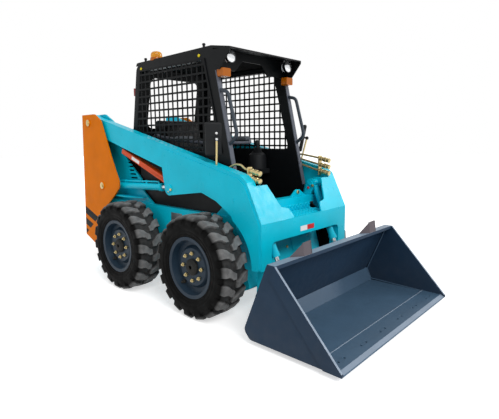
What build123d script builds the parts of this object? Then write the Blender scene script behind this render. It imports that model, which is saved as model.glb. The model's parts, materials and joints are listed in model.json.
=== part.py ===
import os
from math import atan2, cos, degrees, radians, sin, sqrt

from build123d import *

# Skid steer loader with a bucket.  Millimetres, +X forward, +Y to the machine's left, +Z up.
# Tables give x from the middle of the wheelbase and z from the base line, which is the ground
# under standard tyres.  At the end every piece is stood on its tyres, with the origin at the
# foot of the machine's box.

# ---- Driving dimensions ------------------------------------------------------------------
WHEELBASE = 978
AXLE_Z = 385                 # axle line over the base line
TYRE_R = 385                 # over the lugs
TYRE_HALF_WIDTH = 127
WHEEL_Y = 670                # middle plane of a wheel
RIM_R = 210                  # bead seat
RIM_HALF_WIDTH = 113
LUGS = 18                    # on each side of a tyre
LUG_DEPTH = 26
LUG_LENGTH = 74              # round the tread
LUG_SWEEP = 32               # how far its shoulder end trails its middle end
CARCASS_FACETS = 36
BOLT_CIRCLE_R = 101.6
WHEEL_BOLTS = 8
SHAFT_R = 34.9
HOUSING_BORE_R = 35

CHASSIS_HALF = 480
CHASSIS_WALL = 12
CHASSIS_TOP = 730
RAIL_INNER = 395
TOWER_TOP_Z = 1550           # top of the towers
GUSSET_INNER = 440
SHELF_Z = 776                # guard plate over the rear tyre's inner edge
SHELF_OUTER = 556

TOWER_OUTER = 580            # outside face of the tower plates
TOWER_PLATE = 12
INNER_TOWER_OUTER = 455
INNER_TOWER_PLATE = 15
TAIL_X = -1440

PIVOT_X, PIVOT_Z = -1256, 1471          # lift arm pivot
BASE_PIN_X, BASE_PIN_Z = -1045, 863     # lift cylinder foot
ROD_PIN_X, ROD_PIN_Z = -15, 909         # lift cylinder rod, on the arm
TILT_TOP_X, TILT_TOP_Z = 775, 930       # tilt cylinder head, on the arm
TILT_LOW_X, TILT_LOW_Z = 1027, 351      # tilt cylinder rod, on the coupler
BUCKET_PIN_X, BUCKET_PIN_Z = 927, 186   # coupler hinge
PIN_R = 20
PIN_FIT = 0.05               # radial running clearance
PIN_GAP = 3                  # beside an eye

ARM_OUTER = 549
ARM_INNER = 465
ARM_END_R = 80
ARM_FRONT_X = 985
TYRE_GAP = 24                # leg to tyre
CROSS_PLATE = 12
SLOPE_TOP = (850, 1010)      # where the arm's front starts down to the cross plate
DOUBLER = 6
CROSS_TOP = 730
CROSS_OPENING_TOP = 588
CROSS_OPENING_HALF = 440
CLEVIS_PLATE = 10
PROP_PIVOT = (-72, 956)
PROP_ANGLE = 159.7           # degrees up from forward, stowed
PROP_LENGTH = 710
PROP_DEPTH = 23              # half its depth
PROP_PIN_R = 9
PROP_HALF = 28
PROP_SHEET = 5
LEG_OUTER = 490
LEG_INNER = 440
LEG_END_R = 45

CYLINDER_Y = 507
BARREL_R = 30
ROD_R = 20
LIFT_BARREL_END = 880        # from the foot pin
EYE_R = 40
EYE_HALF = 24
TILT_Y = 380
TILT_BARREL_R = 27
TILT_BARREL_END = 500        # from the head pin
TILT_ROD_R = 17
TILT_EYE_R = 32
TILT_EYE_HALF = 22

CAB_HALF = 434
CAB_FRAME = 40               # depth of posts and rails across the machine
ROOF_TOP_Z = 1998
CAB_TOP_Z = ROOF_TOP_Z - 43  # top of the side frames
CAB_REAR_TOP = (-594, CAB_TOP_Z)
CAB_REAR_LOW = (-691, 1387)
VISOR_X = 589
POST_FOOT = (640, 905)
POST_HEAD = (401, CAB_TOP_Z)
POST_FACE = 8                # steel facing on the front of each post
POST_FACE_TOP = CAB_TOP_Z - 140
SHEET = 8

BUCKET_HALF = 800
BUCKET_SIDE = 10
SIDE_CUTTER = 8
BUCKET_SHEET = 10
BUCKET_FLOOR_Z = 35
EDGE_X = 1766
EDGE_WIDTH = 176
EDGE_THICKNESS = 18
EDGE_HOLE_R = 9
EDGE_HOLE_PITCH = 64         # between the two holes of a pair
EDGE_PAIRS = 6
EDGE_PAIR_PITCH = 262

BODY_HALF = 428              # engine bay covers
BUMPER_TOP = 480
TIE_HOLE_R = 17
TIE_LUG_R = 28
TIE_LUG = 20                 # thickness
TIE_OUT = 14                 # hole centre behind the tail
TIE_Z = 400
HOOD_Z = 1160
SCREEN_COLUMNS = 10
SCREEN_ROWS = 7
SCREEN_BAR = 10

FRONT_AXLE_X = WHEELBASE / 2
ORIGIN_X = -(EDGE_X + TAIL_X - TIE_OUT - TIE_LUG_R) / 2
STAND = Location((ORIGIN_X, 0, TYRE_R - AXLE_Z))


def corners(rows):
    return [(x, z) for x, z, _ in rows]


def radii(rows):
    return [r for _, _, r in rows]


def write(node, piece):
    """Stand a finished piece on its tyres and write it."""
    placed = piece.moved(STAND)
    placed.label = node
    export_step(placed, f"parts/{node}.step")


os.makedirs("parts", exist_ok=True)

# ---- Wheels ------------------------------------------------------------------------------
# Made once about the Y axis as a right hand wheel, outer face towards -Y, then placed.
WHEEL_SECTION = Plane(origin=(0, 0, 0), x_dir=(0, 0, 1), z_dir=(1, 0, 0))   # x: radius, y: -Y

CARCASS_R = TYRE_R - LUG_DEPTH
TREAD_HALF = TYRE_HALF_WIDTH - 24
SHOULDER_R = CARCASS_R - 48
BULGE_R = RIM_R + 78
LUG_REACH = (LUG_LENGTH + LUG_SWEEP) / 2
LUG_TOP = sqrt(TYRE_R ** 2 - LUG_REACH ** 2)        # its corners are at the tyre's radius
LUG_WRAP = LUG_TOP - SHOULDER_R + 6                 # down to the foot of the shoulder
LUG_MIDDLE = 14                                     # its end short of the middle of the tread
CORNER_DOWN = degrees(atan2(LUG_REACH, LUG_TOP))    # turns a lug's corner to the ground

with BuildPart() as lug:
    with BuildSketch(Plane.XY.offset(LUG_TOP)):
        with BuildLine():
            Polyline((LUG_REACH, -LUG_MIDDLE), (LUG_REACH - LUG_SWEEP, -TYRE_HALF_WIDTH),
                     (-LUG_REACH, -TYRE_HALF_WIDTH), (LUG_SWEEP - LUG_REACH, -LUG_MIDDLE), close=True)
        make_face()
    extrude(amount=-LUG_WRAP)

# columns: from |y|, to |y|, radius at the first, radius at the second
CARCASS_BANDS = [(0, TREAD_HALF, CARCASS_R, CARCASS_R),
                 (TREAD_HALF, TYRE_HALF_WIDTH, CARCASS_R, SHOULDER_R)]
with BuildPart() as tyre:
    for y_from, y_to, r_from, r_to in CARCASS_BANDS:
        with BuildSketch(Plane.XZ.offset(y_from)):
            RegularPolygon(r_from, CARCASS_FACETS)
        with BuildSketch(Plane.XZ.offset(y_to)):
            RegularPolygon(r_to, CARCASS_FACETS)
        loft()
    with BuildSketch(WHEEL_SECTION):
        with BuildLine():
            Polyline((BULGE_R, TYRE_HALF_WIDTH), (0, TYRE_HALF_WIDTH), (0, 0), (RIM_R, 0), (RIM_R, 104),
                     (RIM_R + 18, 107))
            TangentArc((BULGE_R, TYRE_HALF_WIDTH), (RIM_R + 18, 107), tangent=(-1, 0))
        make_face()
    revolve(axis=Axis.Y, mode=Mode.SUBTRACT)
    mirror(about=Plane.XZ)
    for number in range(LUGS):
        step = 360 / LUGS
        add(lug.part.rotate(Axis.Y, CORNER_DOWN + (number + 0.5) * step))
        add(lug.part.mirror(Plane.XZ).rotate(Axis.Y, CORNER_DOWN + number * step))

# columns: radius, outward
RIM_SECTION = [(RIM_R + 18, RIM_HALF_WIDTH), (RIM_R + 18, 107), (RIM_R, 104), (RIM_R, -104),
               (RIM_R + 18, -107),
               (RIM_R + 18, -RIM_HALF_WIDTH), (RIM_R - 8, -RIM_HALF_WIDTH + 3), (RIM_R - 8, 36),
               (RIM_R - 24, 44), (150, 40), (130, 62), (60, 62), (60, 74), (138, 74), (160, 52),
               (RIM_R - 18, 56), (RIM_R - 8, RIM_HALF_WIDTH - 3)]
HUB_FACE = 74

with BuildPart() as rim:
    with BuildSketch(WHEEL_SECTION):
        with BuildLine():
            Polyline(*RIM_SECTION, close=True)
        make_face()
    revolve(axis=Axis.Y)
    with BuildSketch(WHEEL_SECTION):
        with BuildLine():
            Polyline((0, -150), (SHAFT_R, -150), (SHAFT_R, 20), (66, 30), (66, 50), (124, 54), (124, 62),
                     (60, 62), (60, 88), (46, 98), (0, 98), close=True)
        make_face()
    revolve(axis=Axis.Y)
    with BuildSketch(Plane.XZ.offset(HUB_FACE)):
        with PolarLocations(BOLT_CIRCLE_R, WHEEL_BOLTS):
            RegularPolygon(15, 6)
    extrude(amount=12)

# columns: name, x, side
WHEELS = [("front_right", FRONT_AXLE_X, -1), ("front_left", FRONT_AXLE_X, 1),
          ("rear_right", -FRONT_AXLE_X, -1), ("rear_left", -FRONT_AXLE_X, 1)]
for name, x, side in WHEELS:
    for node, piece in (("tyre", tyre.part), ("rim", rim.part)):
        turned = piece if side < 0 else piece.mirror(Plane.XZ)
        write(f"{node}_{name}", turned.moved(Location((x, side * WHEEL_Y, AXLE_Z))))

# ---- Chassis -----------------------------------------------------------------------------
TAIL_PLATE = 14
TAIL_TOP_X = -1375
TOWER_FOOT_Z = 325


def tail_x(z):
    """Rear face of the machine, which leans forward."""
    return TAIL_X + (z - TOWER_FOOT_Z) * (TAIL_TOP_X - TAIL_X) / (TOWER_TOP_Z - TOWER_FOOT_Z)


FRONT_TOP_X = 662
FRONT_LOW = (809, 217)
# columns: x, z, corner radius
CHASSIS_SIDE = [(tail_x(330) + TAIL_PLATE, 330, 0), (-1300, 215, 20), (700, 172, 30), (*FRONT_LOW, 20),
                (FRONT_TOP_X, CHASSIS_TOP, 0), (tail_x(CHASSIS_TOP) + TAIL_PLATE, CHASSIS_TOP, 0)]
CHASSIS_FRONT = Plane(origin=(FRONT_TOP_X, 0, CHASSIS_TOP), x_dir=(0, 1, 0),
                      z_dir=(CHASSIS_TOP - FRONT_LOW[1], 0, FRONT_LOW[0] - FRONT_TOP_X))
GUSSET = [(440, CHASSIS_TOP), (515, CHASSIS_TOP + 68), (590, CHASSIS_TOP + 68), (655, CHASSIS_TOP)]
CHASSIS_INSIDE = [(-1395, 340, 0), (-1295, 230, 10), (698, 186, 20), (790, 225, 10), (646, 718, 0),
                  (-1395, 718, 0)]
with BuildPart() as chassis_frame:
    with BuildSketch(Plane.XZ.offset(-CHASSIS_HALF)):
        with BuildLine():
            FilletPolyline(*corners(CHASSIS_SIDE), radius=radii(CHASSIS_SIDE), close=True)
        make_face()
    extrude(amount=2 * CHASSIS_HALF)
    with BuildSketch(Plane.XZ.offset(-(CHASSIS_HALF - CHASSIS_WALL))):
        with BuildLine():
            FilletPolyline(*corners(CHASSIS_INSIDE), radius=radii(CHASSIS_INSIDE), close=True)
        make_face()
    extrude(amount=2 * (CHASSIS_HALF - CHASSIS_WALL), mode=Mode.SUBTRACT)
    with BuildSketch(Plane.XY.offset(700)):
        with Locations(((-1380 + 640) / 2, 0)):
            Rectangle(2020, 2 * RAIL_INNER)
    extrude(amount=100, mode=Mode.SUBTRACT)
    with BuildSketch(Plane.XZ.offset(CHASSIS_HALF)):
        with Locations((FRONT_AXLE_X, AXLE_Z), (-FRONT_AXLE_X, AXLE_Z)):
            Circle(HOUSING_BORE_R + 5)
    extrude(amount=-2 * CHASSIS_HALF, mode=Mode.SUBTRACT)
    with BuildSketch(Plane.XY.offset(BUMPER_TOP)):
        with Locations((TAIL_X + 40, 0)):
            Rectangle(90, 2 * BODY_HALF)
    extrude(amount=CHASSIS_TOP, mode=Mode.SUBTRACT)
    for side in (1, -1):
        with BuildSketch(Plane.XZ.offset(side * GUSSET_INNER)):
            with BuildLine():
                Polyline(*GUSSET, close=True)
            make_face()
        extrude(amount=side * 14)
        with BuildSketch(CHASSIS_FRONT):
            with Locations((side * 250, -230)):
                RectangleRounded(300, 260, 20)
        extrude(amount=8)
    with BuildSketch(CHASSIS_FRONT):
        with Locations((-150, -230), (150, -230)):
            Rectangle(34, 34)
    extrude(amount=30, both=True, mode=Mode.SUBTRACT)
write("chassis_frame", chassis_frame.part)

HOUSING_END = WHEEL_Y - 40
with BuildPart() as axle_housings:
    with BuildSketch(Plane.XZ.offset(CHASSIS_HALF)):
        with Locations((FRONT_AXLE_X, AXLE_Z), (-FRONT_AXLE_X, AXLE_Z)):
            Rectangle(230, 200)
    extrude(amount=16)
    with BuildSketch(Plane.XZ.offset(CHASSIS_HALF)):
        with Locations((FRONT_AXLE_X, AXLE_Z), (-FRONT_AXLE_X, AXLE_Z)):
            Circle(70)
    extrude(amount=HOUSING_END - CHASSIS_HALF)
    with BuildSketch(Plane.XZ.offset(CHASSIS_HALF)):
        with Locations((FRONT_AXLE_X, AXLE_Z), (-FRONT_AXLE_X, AXLE_Z)):
            Circle(HOUSING_BORE_R)
    extrude(amount=HOUSING_END - CHASSIS_HALF, mode=Mode.SUBTRACT)
    mirror(about=Plane.XZ)
write("axle_housings", axle_housings.part)

# columns: x, z, corner radius
TOWER_SIDE = [(TAIL_TOP_X, TOWER_TOP_Z, 0), (-1130, TOWER_TOP_Z + 2, 70), (-1020, TOWER_TOP_Z - 60, 60),
              (-846, 1112, 0), (-743, 918, 20), (-749, 857, 20), (-830, 785, 0), (-1133, 559, 60),
              (-1239, 247, 0), (TAIL_X, TOWER_FOOT_Z, 0)]
TOWER_WEB = [(TAIL_TOP_X, TOWER_TOP_Z), (TAIL_X, TOWER_FOOT_Z), (TAIL_X + TAIL_PLATE, TOWER_FOOT_Z),
             (TAIL_TOP_X + TAIL_PLATE, TOWER_TOP_Z)]
with BuildPart() as tower_plates:
    with BuildSketch(Plane.XZ.offset(TOWER_OUTER - TOWER_PLATE)):
        with BuildLine():
            FilletPolyline(*corners(TOWER_SIDE), radius=radii(TOWER_SIDE), close=True)
        make_face()
        with Locations((PIVOT_X, PIVOT_Z), (BASE_PIN_X, BASE_PIN_Z)):
            Circle(PIN_R, mode=Mode.SUBTRACT)
    extrude(amount=TOWER_PLATE)
    with BuildSketch(Plane.XZ.offset(INNER_TOWER_OUTER)):
        with BuildLine():
            Polyline(*TOWER_WEB, close=True)
        make_face()
    extrude(amount=TOWER_OUTER - TOWER_PLATE - INNER_TOWER_OUTER)
    mirror(about=Plane.XZ)
write("tower_plates", tower_plates.part)

# columns: x, z, corner radius
INNER_TOWER_SIDE = [(TAIL_TOP_X + TAIL_PLATE, TOWER_TOP_Z, 0), (-1150, TOWER_TOP_Z + 6, 70),
                    (-1000, TOWER_TOP_Z - 70, 60), (-870, 1170, 40), (-808, 1139, 20), (-559, 944, 20),
                    (-535, 838, 0), (-380, CHASSIS_TOP, 0),
                     (tail_x(CHASSIS_TOP) + TAIL_PLATE, CHASSIS_TOP, 0)]
LOUVRES = 6


def cut_louvres():
    """Six slots that shorten upwards along the sloping front edge."""
    for row in range(LOUVRES):
        rear = -741 - 9 * row
        front = -625 - 24 * row
        with Locations(((rear + front) / 2, 950 + 35 * row)):
            Rectangle(front - rear, 15, mode=Mode.SUBTRACT)


with BuildPart() as inner_towers:
    with BuildSketch(Plane.XZ.offset(INNER_TOWER_OUTER - INNER_TOWER_PLATE)):
        with BuildLine():
            FilletPolyline(*corners(INNER_TOWER_SIDE), radius=radii(INNER_TOWER_SIDE), close=True)
        make_face()
        with Locations((PIVOT_X, PIVOT_Z), (BASE_PIN_X, BASE_PIN_Z)):
            Circle(PIN_R, mode=Mode.SUBTRACT)
        cut_louvres()
    extrude(amount=INNER_TOWER_PLATE)
    with BuildSketch(Plane.XY.offset(SHELF_Z)):
        with BuildLine():
            Polyline((-870, -INNER_TOWER_OUTER), (-870, -SHELF_OUTER), (-700, -SHELF_OUTER),
                     (-500, -INNER_TOWER_OUTER - 40), (-500, -INNER_TOWER_OUTER), close=True)
        make_face()
    extrude(amount=SHEET)
    mirror(about=Plane.XZ)
write("inner_towers", inner_towers.part)

with BuildPart() as tower_pins:
    with BuildSketch(Plane.XZ.offset(INNER_TOWER_OUTER - INNER_TOWER_PLATE)):
        with Locations((PIVOT_X, PIVOT_Z), (BASE_PIN_X, BASE_PIN_Z)):
            Circle(PIN_R)
    extrude(amount=TOWER_OUTER - INNER_TOWER_OUTER + INNER_TOWER_PLATE)
    with BuildSketch(Plane.XZ.offset(TOWER_OUTER)):
        with Locations((PIVOT_X, PIVOT_Z), (BASE_PIN_X, BASE_PIN_Z)):
            Circle(PIN_R + 12)
    extrude(amount=10)
    mirror(about=Plane.XZ)
write("tower_pins", tower_pins.part)

with BuildPart() as rear_bumper:
    with BuildSketch(Plane.XZ.offset(-INNER_TOWER_OUTER)):
        with BuildLine():
            Polyline((tail_x(330), 330), (tail_x(BUMPER_TOP), BUMPER_TOP),
                     (tail_x(BUMPER_TOP) + TAIL_PLATE, BUMPER_TOP), (tail_x(330) + TAIL_PLATE, 330),
                     close=True)
        make_face()
    extrude(amount=2 * INNER_TOWER_OUTER)
    for side in (1, -1):
        with BuildSketch(Plane.XZ.offset(side * 380)):
            with BuildLine():
                Polyline((TAIL_X + 8, TIE_Z - 30), (TAIL_X - TIE_OUT, TIE_Z - TIE_LUG_R),
                         (TAIL_X - TIE_OUT, TIE_Z + TIE_LUG_R), (TAIL_X + 8, TIE_Z + 30), close=True)
            make_face()
            with Locations((TAIL_X - TIE_OUT, TIE_Z)):
                Circle(TIE_LUG_R)
                Circle(TIE_HOLE_R, mode=Mode.SUBTRACT)
        extrude(amount=side * TIE_LUG)
write("rear_bumper", rear_bumper.part)

ENGINE_FOOT_Z = 300
with BuildPart() as engine_block:
    with BuildSketch(Plane.XY.offset(ENGINE_FOOT_Z)):
        with Locations((-1000, 0)):
            Rectangle(560, 420)
    extrude(amount=620)
    chamfer(engine_block.edges().filter_by(Axis.X).group_by(Axis.Z)[-1], length=60)
write("engine_block", engine_block.part)

with BuildPart() as side_covers:
    with BuildSketch(Plane.XZ.offset(BODY_HALF - SHEET)):
        with BuildLine():
            Polyline((tail_x(CHASSIS_TOP) + 42, CHASSIS_TOP), (-700, CHASSIS_TOP), (-700, 1380),
                     (tail_x(HOOD_Z) + 42, HOOD_Z), close=True)
        make_face()
        cut_louvres()
    extrude(amount=SHEET)
    mirror(about=Plane.XZ)
write("side_covers", side_covers.part)

# ---- Covers that open --------------------------------------------------------------------
HOOD_GAP = 5
HOOD_HINGE = (-715, 1405)
HOOD_FRONT_X = -712
HOOD_RIDGE = (-1330, 1262)
HINGE_R = 9
HINGE_LENGTH = 90
HOOD_SLOTS = 8
HOOD_SLOPE = Plane(origin=(HOOD_FRONT_X, 0, HOOD_HINGE[1]), x_dir=(0, 1, 0),
                   z_dir=(HOOD_RIDGE[1] - HOOD_HINGE[1], 0, HOOD_FRONT_X - HOOD_RIDGE[0]))
with BuildPart() as engine_hood:
    with BuildSketch(Plane.XZ.offset(-BODY_HALF)):
        with BuildLine():
            FilletPolyline((HOOD_FRONT_X, 1385 + HOOD_GAP), (HOOD_FRONT_X, HOOD_HINGE[1]), HOOD_RIDGE,
                           (-1405, 1180),
                           (-1405, HOOD_Z + HOOD_GAP), radius=[0, 0, 60, 0, 0], close=True)
        make_face()
    extrude(amount=2 * BODY_HALF)
    with BuildSketch(HOOD_SLOPE):
        with Locations(*[(0, 170 + 42 * row) for row in range(HOOD_SLOTS)]):
            Rectangle(420, 18)
    extrude(amount=-14, mode=Mode.SUBTRACT)
    for y in (-300, 300):
        with BuildSketch(Plane.XZ.offset(y - HINGE_LENGTH / 2)):
            with Locations(HOOD_HINGE):
                Circle(HINGE_R)
        extrude(amount=HINGE_LENGTH)
write("engine_hood", engine_hood.part)

DOOR_Z = (BUMPER_TOP + 8, 1145)
DOOR_HALF = 425
DOOR_DEPTH = 34
DOOR_SLOTS = 9
DOOR_HINGE = (-1442, DOOR_HALF + 7)
with BuildPart() as rear_door:
    with BuildSketch(Plane.XZ.offset(-DOOR_HALF)):
        with BuildLine():
            Polyline((tail_x(DOOR_Z[0]), DOOR_Z[0]), (tail_x(DOOR_Z[1]), DOOR_Z[1]),
                     (tail_x(DOOR_Z[1]) + DOOR_DEPTH, DOOR_Z[1]),
                     (tail_x(DOOR_Z[0]) + DOOR_DEPTH, DOOR_Z[0]), close=True)
        make_face()
    extrude(amount=2 * DOOR_HALF)
    with BuildSketch(Plane.YZ.offset(TAIL_X - 20)):
        with Locations(*[(0, 640 + 46 * row) for row in range(DOOR_SLOTS)]):
            Rectangle(520, 22)
    extrude(amount=200, mode=Mode.SUBTRACT)
    for z in (620, 1000):
        with BuildSketch(Plane.XY.offset(z)):
            with Locations(DOOR_HINGE):
                Circle(HINGE_R)
        extrude(amount=HINGE_LENGTH)
        with BuildSketch(Plane.XY.offset(z)):
            with Locations(((DOOR_HINGE[0] + tail_x(z)) / 2, DOOR_HALF - 4)):
                Rectangle(tail_x(z) - DOOR_HINGE[0] + DOOR_DEPTH, 8)
        extrude(amount=HINGE_LENGTH)
write("rear_door", rear_door.part)

# ---- Cab ---------------------------------------------------------------------------------
def cab_rear_x(z):
    """Rear face of the cab at height z."""
    lean = (CAB_REAR_TOP[0] - CAB_REAR_LOW[0]) / (CAB_REAR_TOP[1] - CAB_REAR_LOW[1])
    return CAB_REAR_TOP[0] + (z - CAB_REAR_TOP[1]) * lean


def post_x(z):
    """Front face of the cab's posts at height z."""
    return POST_HEAD[0] + (CAB_TOP_Z - z) * (POST_FOOT[0] - POST_HEAD[0]) / (POST_HEAD[1] - POST_FOOT[1])


# columns: x, z, corner radius
CAB_SIDE = [(CAB_REAR_TOP[0], CAB_REAR_TOP[1], 50), (CAB_REAR_LOW[0], CAB_REAR_LOW[1], 0),
            (CAB_REAR_LOW[0], CHASSIS_TOP, 0), (600, CHASSIS_TOP, 0), (POST_FOOT[0], POST_FOOT[1], 0),
            (POST_HEAD[0], POST_HEAD[1], 10)]
WINDOW_TOP = CAB_TOP_Z - 55
WINDOW_LOW = 1212
CAB_WINDOW = [(-530, WINDOW_TOP, 30), (-610, 1400, 30), (-470, WINDOW_LOW, 30), (486, WINDOW_LOW, 30),
              (303, WINDOW_TOP, 30)]
with BuildPart() as cab_side_frames:
    with BuildSketch(Plane.XZ.offset(CAB_HALF - CAB_FRAME)):
        with BuildLine():
            FilletPolyline(*corners(CAB_SIDE), radius=radii(CAB_SIDE), close=True)
        make_face()
        with BuildLine():
            FilletPolyline(*corners(CAB_WINDOW), radius=radii(CAB_WINDOW), close=True)
        make_face(mode=Mode.SUBTRACT)
    extrude(amount=CAB_FRAME)
    mirror(about=Plane.XZ)
write("cab_side_frames", cab_side_frames.part)

# A punched screen over each side window: a border and a grid of bars.
SCREEN_BORDER = 20
SCREEN_FACE = Plane.XZ.offset(CAB_HALF)
with BuildPart() as cab_screens:
    with BuildSketch(SCREEN_FACE):
        with BuildLine():
            Polyline(*corners(CAB_WINDOW), close=True)
        make_face()
        offset(amount=SCREEN_BORDER, kind=Kind.INTERSECTION)
    extrude(amount=SHEET)
    cell_length = (CAB_WINDOW[3][0] - CAB_WINDOW[1][0]) / SCREEN_COLUMNS
    cell_height = (WINDOW_TOP - WINDOW_LOW) / SCREEN_ROWS
    middle = ((CAB_WINDOW[3][0] + CAB_WINDOW[1][0]) / 2, (WINDOW_TOP + WINDOW_LOW) / 2)
    with BuildSketch(SCREEN_FACE):
        with Locations(middle):
            with GridLocations(cell_length, cell_height, SCREEN_COLUMNS, SCREEN_ROWS):
                Rectangle(cell_length - SCREEN_BAR, cell_height - SCREEN_BAR)
        with BuildLine():
            Polyline(*corners(CAB_WINDOW), close=True)
        make_face(mode=Mode.INTERSECT)
    extrude(amount=SHEET, mode=Mode.SUBTRACT)
    mirror(about=Plane.XZ)
write("cab_screens", cab_screens.part)

with BuildPart() as cab_front_posts:
    for side in (1, -1):
        with BuildSketch(Plane.XZ.offset(side * (CAB_HALF - CAB_FRAME))):
            with BuildLine():
                Polyline(POST_FOOT, (POST_FOOT[0] + POST_FACE, POST_FOOT[1]),
                         (post_x(POST_FACE_TOP) + POST_FACE, POST_FACE_TOP),
                         (post_x(POST_FACE_TOP), POST_FACE_TOP), close=True)
            make_face()
        extrude(amount=side * CAB_FRAME)
write("cab_front_posts", cab_front_posts.part)

# The roof runs forward into a hollow visor with side cheeks and an arched header.
ROOF_RIDGE_X = 393
VISOR_Z = ROOF_TOP_Z - 32
CHEEK_LOW_Z = CAB_TOP_Z - 135
HEADER_LOW_Z = CAB_TOP_Z - 122
HEADER_ARCH_Z = CAB_TOP_Z - 38
with BuildPart() as cab_roof:
    with BuildSketch(Plane.XZ.offset(-CAB_HALF)):
        with BuildLine():
            FilletPolyline((CAB_REAR_TOP[0] - 6, CAB_TOP_Z), (CAB_REAR_TOP[0] + 4, ROOF_TOP_Z - 16),
                           (ROOF_RIDGE_X, ROOF_TOP_Z), (VISOR_X, VISOR_Z), (VISOR_X, CAB_TOP_Z),
                           radius=[0, 25, 60, 0, 0], close=True)
        make_face()
        with BuildLine():
            Polyline((post_x(CAB_TOP_Z) + 12, CAB_TOP_Z), (post_x(CAB_TOP_Z) + 12, VISOR_Z + 8),
                     (VISOR_X - 10, VISOR_Z - 10), (VISOR_X - 10, CAB_TOP_Z), close=True)
        make_face(mode=Mode.SUBTRACT)
    extrude(amount=2 * CAB_HALF)
    for side in (1, -1):
        with BuildSketch(Plane.XZ.offset(side * (CAB_HALF - SHEET))):
            with BuildLine():
                Polyline((post_x(CAB_TOP_Z), CAB_TOP_Z), (post_x(CAB_TOP_Z), VISOR_Z), (VISOR_X, VISOR_Z),
                         (VISOR_X, VISOR_Z - 24), (post_x(CHEEK_LOW_Z) + 50, CHEEK_LOW_Z - 4),
                         (post_x(CHEEK_LOW_Z), CHEEK_LOW_Z), close=True)
            make_face()
        extrude(amount=side * SHEET)
    with BuildSketch(Plane.YZ.offset(post_x(CAB_TOP_Z))):
        with Locations((0, (CAB_TOP_Z + HEADER_LOW_Z) / 2 + 8)):
            Rectangle(2 * (CAB_HALF - CAB_FRAME) - 2, CAB_TOP_Z - HEADER_LOW_Z + 16)
        with BuildLine():
            FilletPolyline((-215, HEADER_LOW_Z - 20), (-110, HEADER_ARCH_Z), (110, HEADER_ARCH_Z),
                           (215, HEADER_LOW_Z - 20), radius=[0, 30, 30, 0], close=True)
        make_face(mode=Mode.SUBTRACT)
    extrude(amount=12)
write("cab_roof", cab_roof.part)

REAR_WALL = 10
with BuildPart() as cab_rear_wall:
    with BuildSketch(Plane.XZ.offset(-(CAB_HALF - CAB_FRAME))):
        with BuildLine():
            Polyline(CAB_REAR_TOP, CAB_REAR_LOW, (CAB_REAR_LOW[0], CHASSIS_TOP),
                     (CAB_REAR_LOW[0] + REAR_WALL, CHASSIS_TOP),
                     (CAB_REAR_LOW[0] + REAR_WALL, CAB_REAR_LOW[1]),
                     (CAB_REAR_TOP[0] + 3 * REAR_WALL, CAB_TOP_Z), close=True)
        make_face()
    extrude(amount=2 * (CAB_HALF - CAB_FRAME))
    with BuildSketch(Plane.YZ.offset(CAB_REAR_LOW[0] - 30)):
        with Locations((0, 1640)):
            RectangleRounded(580, 460, 60)
    extrude(amount=200, mode=Mode.SUBTRACT)
write("cab_rear_wall", cab_rear_wall.part)

with BuildPart() as cab_floor:
    with BuildSketch(Plane.XZ.offset(-(RAIL_INNER - 1))):
        with BuildLine():
            Polyline((-681, 760), (-60, 760), (20, 430), (640, 430), (640, 422), (12, 422), (-66, 752),
                     (-681, 752), close=True)
        make_face()
    extrude(amount=2 * (RAIL_INNER - 1))
write("cab_floor", cab_floor.part)

with BuildPart() as seat:
    with BuildSketch(Plane.XZ.offset(-230)):
        with BuildLine():
            FilletPolyline((-560, 760), (-560, 960), (-640, 1460), (-560, 1500), (-440, 1060), (-60, 1090),
                           (-40, 960), (-60, 760), radius=[0, 20, 30, 40, 40, 40, 20, 0], close=True)
        make_face()
    extrude(amount=460)
write("seat", seat.part)

STICK_X, STICK_Y = 180, 320
# columns: foot radius, foot z, height, taper
STICK_PARTS = [(78, 1020, 175, 13), (28, 1180, 45, 6), (10, 1200, 50, 0), (19, 1236, 52, -3)]
with BuildPart() as control_consoles:
    with BuildSketch(Plane.XZ.offset(262)):
        with BuildLine():
            Polyline((-560, 760), (-560, 1010), (120, 1030), (280, 1030), (280, 990), (140, 960), (30, 760),
                     close=True)
        make_face()
    extrude(amount=118)
    for radius, foot, height, lean in STICK_PARTS:
        with BuildSketch(Plane.XY.offset(foot)):
            with Locations((STICK_X, -STICK_Y)):
                Circle(radius)
        extrude(amount=height, taper=lean)
    split(bisect_by=Plane.XZ.offset(CAB_HALF - CAB_FRAME - 1), keep=Keep.BOTTOM)
    mirror(about=Plane.XZ)
write("control_consoles", control_consoles.part)

LAP_PIVOT = (-440, 1330)
LAP_HALF = 350
LAP_TAIL = (LAP_PIVOT[0] - 10, LAP_PIVOT[1] + 1)       # the bar's ends, just past the pivot
with BuildPart() as lap_bar:
    with BuildLine() as lap_path:
        FilletPolyline((LAP_TAIL[0], -LAP_HALF, LAP_TAIL[1]), (60, -LAP_HALF, 1285), (150, -250, 1270),
                       (150, 250, 1270), (60, LAP_HALF, 1285), (LAP_TAIL[0], LAP_HALF, LAP_TAIL[1]),
                       radius=40)
    with BuildSketch(Plane(origin=lap_path.line @ 0, z_dir=lap_path.line % 0)):
        Circle(14)
    sweep(path=lap_path.line)
    for side in (1, -1):
        with BuildSketch(Plane.XZ.offset(side * (LAP_HALF - 18))):
            with Locations(LAP_PIVOT):
                Circle(24)
        extrude(amount=side * 40)
write("lap_bar", lap_bar.part)

with BuildPart() as handrails:
    with BuildLine() as rail_path:
        FilletPolyline((450, 0, 1665), (530, 0, 1640), (605, 0, 1320), (540, 0, 1290), radius=30)
    with BuildSketch(Plane(origin=(450, 0, 1665), z_dir=rail_path.line % 0)):
        Circle(10)
    sweep(path=rail_path.line)
RIGHT_RAIL = handrails.part.moved(Location((0, -(CAB_HALF - 18), 0)))
with BuildPart() as handrail_pair:
    add(RIGHT_RAIL)
    mirror(about=Plane.XZ)
    add(cab_side_frames.part, mode=Mode.SUBTRACT)
    add(cab_front_posts.part, mode=Mode.SUBTRACT)
write("handrails", handrail_pair.part)

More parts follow.
